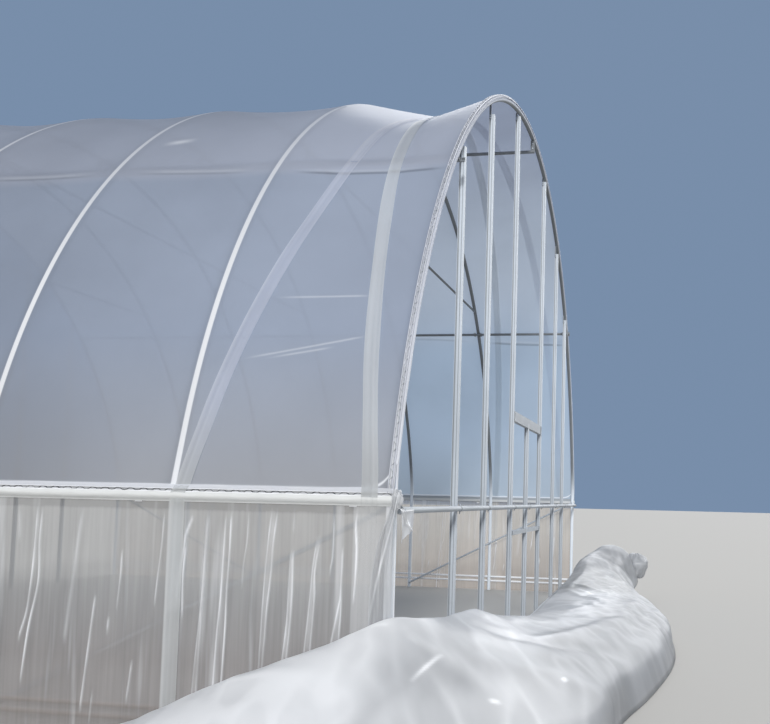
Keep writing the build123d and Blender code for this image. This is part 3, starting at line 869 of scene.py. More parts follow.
class POLYTUNNEL_OT_roof_film(Operator):
    """Stretch the roof film over the bows, from one hip rail to the other"""

    bl_idname = "polytunnel.roof_film"
    bl_label = "Roof film"

    def execute(self, context):
        sizes = context.scene.polytunnel_sizes
        colours = context.scene.polytunnel_colours
        path = ArchPath(FILM_HALF, FILM_SIDE, CURTAIN_TOP)

        def place(u, v):
            """Place on the film, with more columns near the bows."""
            bays = u * BAYS - 0.7 * sin(2 * pi * u * BAYS) / (2 * pi)
            x = FRONT_EDGE + bays / BAYS * (BACK_EDGE - FRONT_EDGE)
            return film_point(path, v * path.length, x, sizes), 0.0

        bm = film_grid(192, 280, place)
        # Painted reflection: the colours by height stand for the sky mirrored in the film and, near the hips,
        # the ground seen through it
        tones = (
            (HIP, colours.roof_low), (HIP + 0.9, colours.roof), (SIDE_PURLIN.z - 0.13, colours.roof),
            (SIDE_PURLIN.z - 0.06, colours.roof_top), (RIDGE, tinted(colours.roof_top, 0.88)),
        )
        film = film_material(
            "roof film", colours.roof, 0.93, colours.folded, marks=roof_painted_light, tones=tones,
            backlit=0.55, shine=0.15,
        )
        piece = finish_mesh(bm, "roof_film", film, ["roof_cover"])
        return {"FINISHED"}


def channel_outline(low_lip, high_lip):
    """C-shaped outline of the lock channel: its width along X and its depth along Y."""
    half = (CHANNEL_TOP - CHANNEL_BOTTOM) / 2
    depth = CHANNEL_OUT - CHANNEL_IN
    wall = 0.0016
    right = [
        (half, 0), (half, depth), (half - high_lip, depth), (half - high_lip, depth - wall),
        (half - wall, depth - wall), (half - wall, wall),
    ]
    left = [
        (half, 0), (half, depth), (half - low_lip, depth), (half - low_lip, depth - wall),
        (half - wall, depth - wall), (half - wall, wall),
    ]
    return right + [(-x, y) for x, y in reversed(left)]


def lock_channels(stations, sizes, seed, low_lip=0.005, high_lip=0.005):
    """Lock channel along the stations, its zigzag wire, and the film tucked into one half of it."""
    bm_channel, bm_wire = bmesh.new(), bmesh.new()
    half = (CHANNEL_TOP - CHANNEL_BOTTOM) / 2
    depth = CHANNEL_OUT - CHANNEL_IN
    sweep(bm_channel, channel_outline(low_lip, high_lip), stations)
    middle = (low_lip - high_lip) / 2
    reach = half - (low_lip + high_lip) / 2 + 0.0015
    steps = [0.0]
    for station, following in zip(stations, stations[1:]):
        steps.append(steps[-1] + (following.translation - station.translation).length)
    run = steps[-1]
    count = round(run / sizes.wire_pitch) * WIRE_STEPS

    def station_at(distance):
        """Matrix on the channel's way at a distance from its start."""
        index = min(len(steps) - 2, bisect_right(steps, distance) - 1)
        share = (distance - steps[index]) / (steps[index + 1] - steps[index])
        return stations[index].lerp(stations[index + 1], share)

    wire = []
    for number in range(count + 1):
        distance = run * number / count
        turn = 2 * pi * distance / sizes.wire_pitch
        swing = middle + reach * (sin(turn) + 0.12 * sin(3 * turn)) * 0.9
        depth_here = depth * (0.75 + 0.25 * noise.noise((distance * 3, seed, 0)))
        wire.append(station_at(distance) @ Matrix.Translation((swing, depth_here, 0)))
    sweep(bm_wire, round_outline(sizes.wire_thickness / 2, 5), wire)
    tucks = ((middle - reach, 0.5), (middle - reach * 0.1, 0.95), (middle + reach * 0.2, 0.45))

    def tuck(u, v):
        """Place on the film that is pushed into the channel."""
        distance = run * v
        side, lift = tucks[round(u * 2)]
        wave = 0.0014 * noise.noise((distance * 25, side * 300, seed))
        return station_at(distance) @ Vector((side + wave, depth * lift + wave * 2, 0)), 0.0

    return bm_channel, bm_wire, film_grid(2, count, tuck)


def end_band_tones(colours):
    """Colours by height of the film round the end bows: darker at the top and white towards the hips."""
    # Darker at the top
    top = tinted(colours.strap, 0.70)
    return (0.0, colours.folded), (HIP, colours.folded), (3.0, colours.strap), (4.0, top), (RIDGE, top)


class POLYTUNNEL_OT_lock_channels(Operator):
    """Fix the film with lock channels along the hips and the end bows"""

    bl_idname = "polytunnel.lock_channels"
    bl_label = "Lock channels"

    def execute(self, context):
        sizes = context.scene.polytunnel_sizes
        colours = context.scene.polytunnel_colours
        white = metal_material("lock channel", colours.folded, 0.45, spangle=0.02, metallic=0.0)
        pale = tinted(colours.strap, 0.80)
        grey = metal_material("bow lock channel", pale, 0.6, spangle=0.05, metallic=0.0)
        tones = end_band_tones(colours)
        end_band_film = film_material("end band tucked film", colours.strap, 0.95, colours.strap, tones=tones)
        # The hip wire's near black includes painted shade of the channel round it
        dark = metal_material("lock wire", colours.wire, 0.4, spangle=0.02, metallic=0.6)
        dashed = wire_material("bow lock wire", colours.steel, tinted(colours.strap, 0.8))
        film = film_material("tucked film", colours.folded, 0.95, colours.folded, roughness=0.35)
        middle = (CHANNEL_TOP + CHANNEL_BOTTOM) / 2
        ends = (BACK_EDGE + 0.004, FRONT_EDGE - 0.004)
        count = 60
        for side, hand in SIDES:
            stations = [
                Matrix.Translation((ends[0] + (ends[1] - ends[0]) * k / count, hand * CHANNEL_IN, middle))
                @ Matrix(((0, 0, 1), (0, hand, 0), (1, 0, 0))).to_4x4()
                for k in range(count + 1)
            ]
            parts = lock_channels(stations, sizes, hand, low_lip=0.014, high_lip=0.003)
            self.make(parts, (white, dark, film), f"{side}_hip", f"{side}_hip_channel")
        count = 220
        for side, x, hand in ENDS:
            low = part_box(f"{side}_bow_channel")[0].z
            path = ArchPath(CHANNEL_IN - RAIL_THICKNESS - HALF_WIDTH, CHANNEL_IN, low)
            across = Vector((hand, 0, 0))
            stations = []
            for k in range(count + 1):
                y, z, outwards = path.at(path.length * k / count)
                out = Vector((0, -cos(outwards), sin(outwards)))
                matrix = Matrix((across, out, across.cross(out))).transposed().to_4x4()
                matrix.translation = (x, y, z)
                stations.append(matrix)
            parts = lock_channels(stations, sizes, hand + 5)
            self.make(parts, (grey, dashed, end_band_film), f"{side}_bow", f"{side}_bow_channel")
        return {"FINISHED"}

    def make(self, parts, materials, name, replaced):
        """Makes the channel, the wire and the tucked film of one run."""
        for bm in parts:
            bmesh.ops.recalc_face_normals(bm, faces=bm.faces)
        finish_mesh(parts[0], f"{name}_lock_channel", materials[0], [replaced])
        finish_mesh(parts[1], f"{name}_lock_wire", materials[1])
        finish_mesh(parts[2], f"{name}_tucked_film", materials[2])


class POLYTUNNEL_OT_film_edges(Operator):
    """Turn the free edges of the film over the end bows and out of the hip channels"""

    bl_idname = "polytunnel.film_edges"
    bl_label = "Film edges"

    def execute(self, context):
        colours = context.scene.polytunnel_colours
        film = film_material(
            "film edge", colours.strap, 0.94, colours.strap, roughness=0.5, crinkle=0.4,
            tones=end_band_tones(colours),
        )
        cream = film_material(
            "rolled film", colours.rail, 0.97, colours.rail, roughness=0.4, crinkle=0.4, glow_share=0.15
        )
        path = ArchPath(0, HALF_WIDTH, CURTAIN_TOP)
        for side, x, hand in ENDS:

            def place(u, v):
                """Place on the film's free edge over an end bow."""
                y, z, outwards = path.at(v * path.length)
                wave = noise.noise((v * 60, side == "front", 1))
                long_wave = noise.noise((v * 13, side == "front", 4))
                depth = (0.010 + 0.005 * long_wave) * u - 0.0034
                bulge = BOW_R + 0.0012 + 0.004 * smooth_step(0, 0.35, u) + 0.003 * wave * u * u
                bulge -= 0.006 * (1 - smooth_step(0, 0.2, u))
                point = Vector((x + hand * bulge, y + depth * cos(outwards), z - depth * sin(outwards)))
                return point, 0.25 + 0.2 * wave

            bm = film_grid(9, 420, place)
            piece = finish_mesh(bm, f"{side}_film_edge", film)
        for side, hand in SIDES:

            def edge(u, v):
                """Place on the film's free edge above the hip channel."""
                x = FRONT_EDGE - 0.002 + v * (BACK_EDGE - FRONT_EDGE + 0.004)
                wave = noise.noise((x * 9, hand, 3))
                z = CHANNEL_TOP - 0.004 + u * (0.026 + 0.007 * noise.noise((x * 3.3, hand, 6)))
                out = CHANNEL_OUT + 0.0015 + 0.004 * wave * u - 0.004 * (1 - u)
                return Vector((x, hand * out, z)), 0.5 + 0.5 * wave

            def wrap(u, v):
                """Place on the film that is rolled round the hip channel."""
                x = FRONT_EDGE + 0.004 + v * (BACK_EDGE - FRONT_EDGE - 0.008)
                scallop = abs(sin(x * 2 * pi / 0.30 + noise.noise((x * 2, hand, 8))))
                z = WRAP_TOP - 0.004 * scallop * (1 - u) - (WRAP_TOP - WRAP_BOTTOM) * u
                wave = noise.noise((x * 5, u * 2, hand))
                bulge = 0.0125 * sin(pi * min(1, u * 1.15 + 0.06)) + 0.002 * wave * sin(pi * u)
                out = CHANNEL_OUT + 0.0005 + bulge - 0.009 * smooth_step(0.72, 1.0, u)
                return Vector((x, hand * out, z)), 0.7 + 0.3 * wave

            bm = film_grid(12, 500, wrap)
            piece = finish_mesh(bm, f"{side}_hip_wrap", cream)

            bm = film_grid(5, 420, edge)
            piece = finish_mesh(bm, f"{side}_hip_film_edge", film)
        return {"FINISHED"}


# One fold: X of its middle at the top, half width, lean, ends, height, brightness, and the gap to its twin
# with the height at which the two come together
Fold = namedtuple("Fold", "middle width lean bottom top height bright gap join")
FOLD_TOP = 1.27


class CurtainFolds:
    """Folds of one side curtain: its own creases, and then pairs, broad ones and short bright ones."""

    def __init__(self, seed, creases=(), stop=FRONT_EDGE - 0.06, pairs=0.22):
        chance = random.Random(seed)
        self.folds = []
        self.creases = [
            (min(x for _, x in way) - 3 * width, max(x for _, x in way) + 3 * width, width, bright, way)
            for width, bright, way in creases
        ]
        x = BACK_EDGE + 0.06
        while x < stop:
            lean = chance.uniform(-0.085, -0.05)
            kind = chance.random()
            join = chance.uniform(0.45, 1.0)
            if kind < pairs:
                top = chance.choice((FOLD_TOP, FOLD_TOP, 1.1))
                bottom = chance.uniform(-0.2, 0.15)
                gap = chance.uniform(0.028, 0.05)
                width = chance.uniform(0.0045, 0.007)
                self.folds.append(Fold(x, width, lean, bottom, top, 0.006, 1.0, 0.0, join))
                self.folds.append(Fold(x + 0.006, width * 0.9, lean, bottom, top, 0.005, 0.85, gap, join))
            elif kind < 0.62:
                bottom = chance.uniform(0.5, 0.9)
                width = chance.uniform(0.012, 0.02)
                self.folds.append(Fold(x, width, lean, bottom, FOLD_TOP, 0.006, 0.35, 0.0, join))
            else:
                bottom = chance.uniform(0.1, 0.9)
                length = chance.choice((0.015, 0.03, 0.12, 0.3, 0.5))
                self.folds.append(Fold(x, 0.0065, lean, bottom, bottom + length, 0.004, 0.95, 0.0, join))
            x += chance.uniform(0.08, 0.2)
        self.folds.sort()
        self.places = [fold.middle for fold in self.folds]

    def at(self, x, z):
        """How far the film stands out at a place, and how folded it is, with the painted glint of its folds.
        """
        out = 0.0
        folded = 0.0
        first = bisect_left(self.places, x - 0.08)
        last = bisect_right(self.places, x + 0.2)
        for fold in self.folds[first:last]:
            line = fold.middle + fold.lean * (FOLD_TOP - z) + 0.005 * sin(z * 7 + fold.middle * 31)
            line += fold.gap * (0.25 + 0.75 * smooth_step(0, 0.14, abs(z - fold.join)))
            ridge = bell(x - line, fold.width)
            if ridge < 0.01:
                continue
            fade = smooth_step(fold.bottom - 0.03, fold.bottom + 0.06, z)
            fade *= 1 - smooth_step(fold.top - 0.05, fold.top, z)
            # The folds' whiteness is partly the doubled film and partly painted glint
            glint = 0.7 + 0.6 * noise.noise((fold.middle * 17, z * 5, fold.gap * 90))
            out += fold.height * ridge * fade
            folded = max(folded, ridge * fade * fold.bright * glint)
        for low, high, width, bright, places in self.creases:
            if low < x < high:
                ridge = bell(x - along_points(places, z), width)
                fade = smooth_step(places[0][0] - 0.05, places[0][0] + 0.03, z)
                fade *= smooth_step(places[-1][0] + 0.04, places[-1][0] - 0.02, z)
                glint = 0.8 + 0.5 * noise.noise((low * 17, z * 6, high))
                out += min(0.006, width) * ridge * fade
                folded = max(folded, ridge * fade * bright * glint)
        return out, min(1, folded)


class POLYTUNNEL_OT_side_curtains(Operator):
    """Hang the side curtains from the hip rails, with their upright folds"""

    bl_idname = "polytunnel.side_curtains"
    bl_label = "Side curtains"

    def execute(self, context):
        colours = context.scene.polytunnel_colours
        low, high = colours.curtain_low, colours.curtain
        tones = ((0.0, low), (0.45, low), (0.9, high), (1.3, high))
        near_folds = CurtainFolds(4, NEAR_CREASES, stop=NEAR_CREASES[0][2][0][1] - 0.15)
        far_folds = CurtainFolds(9, pairs=0.06)
        # Painted light: the far curtain is made brighter and warmer and the near one a little darker; both
        # are darker and browner near the ground, painted for the ground seen through them
        curtains = (
            ("near", -1, 4, near_folds, 0.70, (0.96, 0.96, 0.96)),
            ("far", 1, 9, far_folds, 0.58, (1.17, 1.08, 0.975)),
        )
        for side, hand, seed, folds, opacity, side_light_and_tint in curtains:
            film = film_material(
                f"{side} curtain film", high, opacity, colours.folded, roughness=0.22, marks=curtain_whites_and_shade,
                tones=[(z, [part * brightening for part, brightening in zip(tone, side_light_and_tint)]) for z, tone in tones],
                streaks=0.22,
            )

            def place(u, v):
                """Place on the curtain, and how folded it is there."""
                x = FRONT_EDGE + u * (BACK_EDGE - FRONT_EDGE)
                z = CURTAIN_TOP * (1 - v)
                hanging = smooth_step(0, 0.15, CURTAIN_TOP - 0.04 - z)
                out, folded = folds.at(x, z)
                out += 0.006 * noise.noise((x * 2.2, z * 0.8, seed)) * hanging
                return Vector((x, hand * (FILM_SIDE + out * hanging), z)), folded * hanging

            bm = film_grid(1400, 48, place)
            piece = finish_mesh(bm, f"{side}_curtain_film", film, [f"{side}_curtain"])
        return {"FINISHED"}


class POLYTUNNEL_OT_straps(Operator):
    """Lay the two crossed hold-down straps of gathered film over the front bay"""

    bl_idname = "polytunnel.straps"
    bl_label = "Hold-down straps"

    def execute(self, context):
        sizes = context.scene.polytunnel_sizes
        colours = context.scene.polytunnel_colours
        tail = film_material("strap tail", colours.rail, 0.16, colours.folded, crinkle=0.2)
        for layer, name in enumerate(STRAP_LINES):
            lift = 0.005 + 0.004 * layer
            bright = [min(0.97, (1.12 + 0.13 * layer) * part) for part in colours.strap]
            tones = (
                (0.0, colours.rail), (HIP, tinted(colours.rail, 1.04)), (HIP + 0.5, bright),
                (SIDE_PURLIN.z - 0.2, bright), (SIDE_PURLIN.z + 0.1, tinted(bright, 0.84)),
            )
            film = film_material(
                f"{name} film", bright, 0.72 + 0.14 * layer, colours.folded, crinkle=0.2, tones=tones,
                glow_share=0.6,
            )
            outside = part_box(name)[1].y - FILM_HALF
            path = ArchPath(FILM_HALF, outside, 0.0)

            def place(u, v):
                """Place on the strap, which is creased across its width."""
                y, z, _ = path.at(v * path.length)
                foot = 0 if y < 0 else pi
                x = strap_x(name, polar_angle(y, z) if z > HIP else foot)
                x += (u - 0.5) * sizes.strap_width * (1 + 0.06 * noise.noise((v * 30, layer, 2)))
                crumple = noise.noise((u * 5, v * 9, layer))
                return film_point(path, v * path.length, x, sizes, lift + 0.0015 * crumple), 0.3 * crumple

            bm = film_grid(10, 300, place)
            for face in bm.faces:
                middle = face.calc_center_median()
                face.material_index = name == "strap_b" and middle.y < 0 and middle.z < HIP - 0.02
            piece = finish_mesh(bm, f"{name}_band", film, [name])
            piece.data.materials.append(tail)
        return {"FINISHED"}


def crease(x, y, seed):
    """Height of a creased surface, from about -0.4 to 0.3: soft slopes that meet in sharp lines."""
    value = noise.noise((x, y, seed)) + 0.4 * noise.noise((x * 2.1, y * 2.1, seed + 9))
    return 0.3 - (value * value + 0.0015) ** 0.5


def fold_height(x, y):
    """Height of the long folds of the heap."""
    height = 0.0
    for start, end, width, rise in HEAP_FOLDS:
        run = Vector(end) - Vector(start)
        share = (Vector((x, y)) - Vector(start)).dot(run) / run.length_squared
        ends = smooth_step(-0.15, 0.2, share) * (1 - smooth_step(0.8, 1.15, share))
        if ends > 0:
            wander = 0.03 * noise.noise((x * 2, y * 2, width * 90))
            off = (x - start[0]) * run.y - (y - start[1]) * run.x
            height += rise * ends * bell(off / run.length + wander, width)
    return height


def glint_at(x, y, start, end):
    """How near a place is to a short bright crease, from 0 to 1."""
    run = Vector(end) - Vector(start)
    share = (Vector((x, y)) - Vector(start)).dot(run) / run.length_squared
    nearest = Vector(start) + run * max(0, min(1, share))
    return 0.8 * bell((Vector((x, y)) - nearest).length, 0.010) * bell(share - 0.5, 0.45)


class Heap:
    """The heaped sheet's plain shape, from its cross-sections."""

    def __init__(self):
        self.last = len(HEAP_SECTIONS) - 1
        self.steps = {}

    def section(self, along):
        """Inner foot, outer foot and the four heights at a share of the heap's length."""
        if along not in self.steps:
            values = [(*inner, *outer, *heights) for inner, outer, heights in HEAP_SECTIONS]
            place = along * self.last
            line = [along_points(list(enumerate(row)), place) for row in zip(*values)]
            self.steps[along] = Vector(line[:2]), Vector(line[2:4]), line[4:]
        return self.steps[along]

    def at(self, along, across):
        """Place on the heap at a share of its length and a share of the sheet's width."""
        inner, outer, heights = self.section(along)
        spread = outer - inner
        first, last = HEAP_TOP
        if across < first:
            share = across / first
            return Vector((*(inner + spread * 0.12 * (1 - share) ** 2), 0.003 + heights[0] * 0.86 * share))
        if across > last:
            share = (across - last) / (1 - last)
            return Vector((*(outer - spread * (0.02 + 0.6 * share)), 0.004))
        share = (across - first) / (last - first)
        rounding = smooth_step(0.84, 1.0, share)
        z = along_points([(k / 3, height) for k, height in enumerate(heights)], share)
        z *= (1 - rounding**2) ** 0.5
        z *= 0.86 + 0.14 * smooth_step(0, 0.07, share)
        place = inner + spread * (share + 0.035 * rounding * (1 - rounding))
        return Vector((*place, max(0.004, z)))


class POLYTUNNEL_OT_loose_sheet(Operator):
    """Heap the loose end sheet round the near corner and along the front end"""

    bl_idname = "polytunnel.loose_sheet"
    bl_label = "Loose end sheet"

    def execute(self, context):
        colours = context.scene.polytunnel_colours
        heap = Heap()
        columns, rows = 620, 130

        def place(u, v):
            """Place on the heap, and how folded or doubled the sheet is there."""
            u = round(u * columns) / columns
            point = heap.at(u, v)
            x, y, z = point
            high = smooth_step(0.02, 0.2, z) * smooth_step(0, 0.05, v) * smooth_step(0, 0.03, u)
            high *= smooth_step(1, 0.97, u)
            middle = smooth_step(HEAP_TOP[0], HEAP_TOP[0] + 0.12, v)
            busy = 0.12 + 0.88 * smooth_step(-2.2, -0.6, y) * smooth_step(0.35, 0.75, x)
            busy = max(busy, 0.9 * smooth_step(2.6, 3.6, y))
            rise = 0.045 * noise.noise((x * 1.1, y * 0.7, 5)) * middle
            rise += 0.04 * crease(x * 0.9 + y * 0.25, y * 0.55, 3) * middle
            rise += 0.8 * fold_height(x, y)
            creases = crease(x * 3.6 + y * 1.5, y * 1.9 - x * 0.8, 7)
            rise += (0.006 + 0.024 * busy) * creases
            small = crease(x * 9 + y * 3, y * 6, 13)
            rise += (0.0010 + 0.006 * busy) * small
            for (mound_x, mound_y), radius, height in HEAP_MOUNDS:
                rise += height * bell(hypot(x - mound_x, y - mound_y), radius) * middle
            side = heap.at(u, min(1, v + 0.01)) - heap.at(u, max(0, v - 0.01))
            ahead = heap.at(min(1, u + 0.004), v) - heap.at(max(0, u - 0.004), v)
            out = side.cross(ahead).normalized()
            if out.z < 0:
                out.negate()
            point += out * rise * high
            point.z = max(0.003, point.z)
            edge = 1 - smooth_step(0, 0.02, abs(v - HEAP_TOP[0]))
            glint = max(glint_at(x, y, start, end) for start, end in HEAP_GLINTS) * middle
            # Painted light: the sheet is whitened near the near corner and over the inner top, evening out
            # its shade
            near = smooth_step(-3.8, -4.8, y)
            thick = max(0.70 * smooth_step(0.35, -0.15, x), 0.30 * smooth_step(0.42, 0.55, v))
            whitening = near * (0.20 + thick)
            whitening += 0.5 * (1 - near) * smooth_step(0.55, 0.35, v) * smooth_step(1.3, 0.5, y)
            folded = 0.6 * (busy * max(0, small) + max(0, creases) + edge)
            return point, min(1, folded + glint + whitening)

        bm = film_grid(columns, rows, place)
        film = film_material(
            "sheet film", colours.sheet, 0.80, colours.folded, roughness=0.3, crinkle=0.1, glow_share=0.5
        )
        piece = finish_mesh(bm, "loose_sheet", film, ["loose_end_sheet"])
        for number, (middle, radius) in enumerate(HEAP_PUFFS):

            def puff(u, v):
                """Place on a puffed end, creased like a fan."""
                way = ball_way(u, v)
                fan = atan2(way.y, way.x)
                creases = crease(fan * 1.3 + number * 5, way.z * 0.8, number)
                size = radius * (1 + 0.18 * noise.noise(way * 1.5 + Vector((0, 0, number))) + 0.22 * creases)
                return Vector(middle) + way * size, max(0, creases)

            bm = film_ball(64, 40, puff, 0.0005)
            finish_mesh(bm, f"sheet_puff_{number + 1}", film)
        return {"FINISHED"}


class POLYTUNNEL_OT_corner_film(Operator):
    """Hang the end sheet's torn corner from the near front corner, as a flap and a gathered bunch"""

    bl_idname = "polytunnel.corner_film"
    bl_label = "Corner film"

    def execute(self, context):
        colours = context.scene.polytunnel_colours
        film = film_material("corner film", colours.sheet, 0.72, colours.folded, roughness=0.28, crinkle=0.15)
        thin = film_material(
            "thin corner film", colours.sheet, 0.42, colours.folded, roughness=0.28, crinkle=0.15
        )
        near = -HALF_WIDTH

        def flap(u, v):
            """Place on the torn corner under the end rail."""
            y = near - 0.045 + 0.245 * u
            drop = (0.18 - 0.08 * u + 0.012 * noise.noise((u * 5, 2, 0))) * v
            x = END_RAIL_HIGH.x + 0.006 + 0.012 * sin(u * 9 + v * 2.5) * v * (1 - u * 0.6)
            x -= 0.012 * smooth_step(0.10, 0.0, v)
            pleat = bell(u - 0.22 - 0.5 * v, 0.05) + bell(u - 0.75 * v, 0.04)
            # Whiter towards the foot, and along the pleats as a painted highlight
            white = min(1, 0.5 + 0.2 * v + 0.15 * pleat)
            return Vector((x + 0.006 * pleat, y, END_RAIL_HIGH.z - 0.008 - drop)), white

        piece = finish_mesh(film_grid(60, 40, flap), "corner_flap", film)

        left = ((0, 0.02), (0.1, 0.01), (0.3, -0.04), (0.5, -0.07), (0.7, -0.085), (1, -0.09))
        right = ((0, 0.055), (0.08, 0.05), (0.25, 0.045), (0.6, 0.045), (0.8, 0.048), (1, 0.05))

        def bunch(u, v):
            """Place on the gathered film down the near corner."""
            low, high = along_points(left, v), along_points(right, v)
            x = low + (high - low) * u
            z = CHANNEL_TOP - 0.01 - v * 0.70
            over_rail = smooth_step(HIP - 0.16, HIP - 0.06, z)
            ridges = sin(u * 17 + v * 3) * 0.5 + sin(u * 29 - v * 5) * 0.3
            y = -CHANNEL_OUT - 0.014 - 0.016 * sin(pi * u) * smooth_step(0, 0.2, v)
            y -= (0.0055 * ridges) * smooth_step(0, 0.1, v) + 0.006 * over_rail
            white = 0.1 + 0.4 * max(0, ridges) + 0.15 * bell(u, 0.1) + 0.75 * bell(1 - u, 0.05)
            white += 0.6 * bell(u - 0.85 + 0.9 * v, 0.06) * smooth_step(1.0, 0.6, v)
            return Vector((x, y, z)), min(1, white)

        gathered = finish_mesh(film_grid(48, 120, bunch), "corner_bunch", thin)

        def knot(u, v):
            """Place on the knot over the end rail."""
            way = ball_way(u, v)
            size = 1 + 0.25 * noise.noise(way * 2.3) + 0.25 * crease(2 * pi * u * 0.9, pi * v * 0.5, 4)
            place = Vector((0.034 * way.x, 0.036 * way.y, 0.052 * way.z)) * size
            return Vector((0.030, near - 0.028, END_RAIL_HIGH.z + 0.035)) + place, 0.5 + size - 1

        tied = finish_mesh(film_ball(40, 26, knot, 0.0003), "corner_knot", film)
        return {"FINISHED"}


def half_band(radius, thickness):
    """Outline of half a pipe clamp, open towards -Y: an arch of flat strip with its two feet."""
    sides = 10
    inner = [(radius * cos(pi * k / sides), radius * sin(pi * k / sides)) for k in range(sides + 1)]
    scale = (radius + thickness) / radius
    foot = radius * 0.85
    outer = [(x * scale, y * scale) for x, y in inner]
    return (
        [(radius + foot, 0), *inner, (-radius - foot, 0), (-radius - foot, thickness)]
        + [point for point in reversed(outer) if point[1] > thickness]
        + [(radius + foot, thickness)]
    )


def clamp_tube(bm, bolts, middle, half, outwards, radius, sizes):
    """Pipe clamp on one side of a tube, reaching half to each side of its middle, with its two bolts."""
    strip, reach, bolt = sizes
    add_bar(bm, half_band(radius + CLAMP_PLAY, strip), middle - half, middle + half, outwards)
    across = outwards.cross(half).normalized()
    for side in (-1, 1):
        add_bolt(bolts, middle + across * side * radius * reach + outwards * strip, outwards, bolt)


def clamp_purlins(bm, bolts):
    """Clamps of the side purlins at each bow, and the bolts through the ridge purlin's hangers."""
    half = Vector((0.012, 0, 0))
    for x in BOWS:
        for _, hand in SIDES:
            middle = Vector((x, hand * SIDE_PURLIN.y, SIDE_PURLIN.z))
            inwards = Vector((0, -middle.y, ARC_CENTRE - middle.z)).normalized()
            for off in (-0.040, 0.040):
                clamp_tube(bm, bolts, middle + Vector((off, 0, 0)), half, inwards, PURLIN_R, PURLIN_CLAMP)
        for hand in (-1, 1):
            for z in (RIDGE_PURLIN.z + 0.035, RIDGE_PURLIN.z + 0.085):
                add_bolt(bolts, (x, hand * 0.0042, z), (0, hand, 0), 0.006)


def bracket_studs(bm, bolts, x, hand):
    """Flat brackets between the studs of an end and its bow."""
    x -= hand * 0.012
    for kind in STUD_KINDS:
        top = stud_top(kind)
        for y in (-stud_reach(kind), stud_reach(kind)):
            side = y - STUD.y - 0.0026
            under = ARC_CENTRE + ((BOW_OUTSIDE - BOW_R) ** 2 - side**2) ** 0.5 - BOW_R
            add_bar(bm, box_outline(0.016, 0.004), (x, side, top - 0.040), (x, side, under), (0, 1, 0))
            for drop in (0.012, 0.030):
                add_bolt(bolts, (x, side - 0.0021, top - drop), (0, -1, 0), 0.0055)


def clamp_end_rail(bm, bolts, end, hand):
    """Clamps that hold an end rail to the studs and the centre post, and a ring at each of its ends."""
    low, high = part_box(f"{end}_end_rail")
    x, _, z = (low + high) / 2
    radius = (high.z - low.z) / 2
    outwards = Vector((hand, 0, 0))
    for y in (*(side * stud_reach(kind) for kind in STUD_KINDS for side in (-1, 1)), 0):
        clamp_tube(bm, bolts, Vector((x, y, z)), Vector((0, 0.011, 0)), outwards, radius, RAIL_CLAMP)
    front = x + hand * (radius + 0.0035)
    for y in (-HALF_WIDTH + 0.030, HALF_WIDTH - 0.030):
        add_bar(bm, round_outline(radius + 0.0035, 20), (x, y - 0.022, z), (x, y + 0.022, z))
        add_bolt(bolts, (front, y, z), outwards, 0.006)


def cleat_doors(bm, bolts, x, hand):
    """Cleats that hold the header and the middle rail of an end's doorway to the door posts."""
    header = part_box("front_door_header")
    x += hand * STUD.x
    for y, inside in ((header[0].y, 1), (header[1].y, -1)):
        for low, high in ((header[0].z + 0.006, header[1].z - 0.006), MIDDLE_CLEAT):
            ends = [(x + hand * 0.0022, y + inside * 0.016, z) for z in (low, high)]
            add_bar(bm, box_outline(0.004, 0.03), *ends, (0, 1, 0))
            for z in (low + 0.008, high - 0.008):
                add_bolt(bolts, (x + hand * 0.0042, y + inside * 0.018, z), (hand, 0, 0), 0.0045)


def ring_ties(bm, bolts):
    """Ring with a bolt near each end of the collar ties, which cross every second bow."""
    low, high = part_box("collar_ties")
    z = (low.z + high.z) / 2
    for x in BOWS[1:-1:2]:
        for y in (low.y + 0.035, high.y - 0.035):
            add_bar(bm, round_outline(0.016, 16), (x, y - 0.02, z), (x, y + 0.02, z))
            add_bolt(bolts, (x, y, z - 0.016), (0, 0, -1), 0.006)


def clip_rails(bm):
    """Clips under the hip rails, one behind each bow."""
    half = Vector((0.02, 0, 0))
    for x in BOWS[:-1]:
        for _, hand in SIDES:
            middle = Vector((x - 0.20, hand * (RAIL_OUT - 0.012), RAIL_BOTTOM + 0.004))
            add_bar(bm, half_band(0.017, 0.003), middle - half, middle + half, (0, hand * 0.9, -0.45))


class POLYTUNNEL_OT_fittings(Operator):
    """Fix clamps, brackets, bolts and clips to the frame"""

    bl_idname = "polytunnel.fittings"
    bl_label = "Clamps, brackets and bolts"

    def execute(self, context):
        colours = context.scene.polytunnel_colours
        dull = metal_material("fitting steel", tinted(colours.steel, 0.55), 0.5)
        zinc = metal_material("bolt zinc", tinted(colours.bright_steel, 0.85), 0.35, metallic=0.5)
        white = metal_material("rail clip", colours.folded, 0.4, spangle=0.02, metallic=0.0)
        bm, bolts, clips = bmesh.new(), bmesh.new(), bmesh.new()
        clamp_purlins(bm, bolts)
        for end, x, hand in ENDS:
            bracket_studs(bm, bolts, x, hand)
            clamp_end_rail(bm, bolts, end, hand)
            cleat_doors(bm, bolts, x, hand)
        ring_ties(bm, bolts)
        clip_rails(clips)
        for group in (bm, bolts, clips):
            bmesh.ops.recalc_face_normals(group, faces=group.faces)
        finish_mesh(bm, "clamps_and_brackets", dull, smooth=False)
        finish_mesh(bolts, "bolt_heads", zinc, smooth=False)
        finish_mesh(clips, "rail_clips", white, smooth=False)
        return {"FINISHED"}


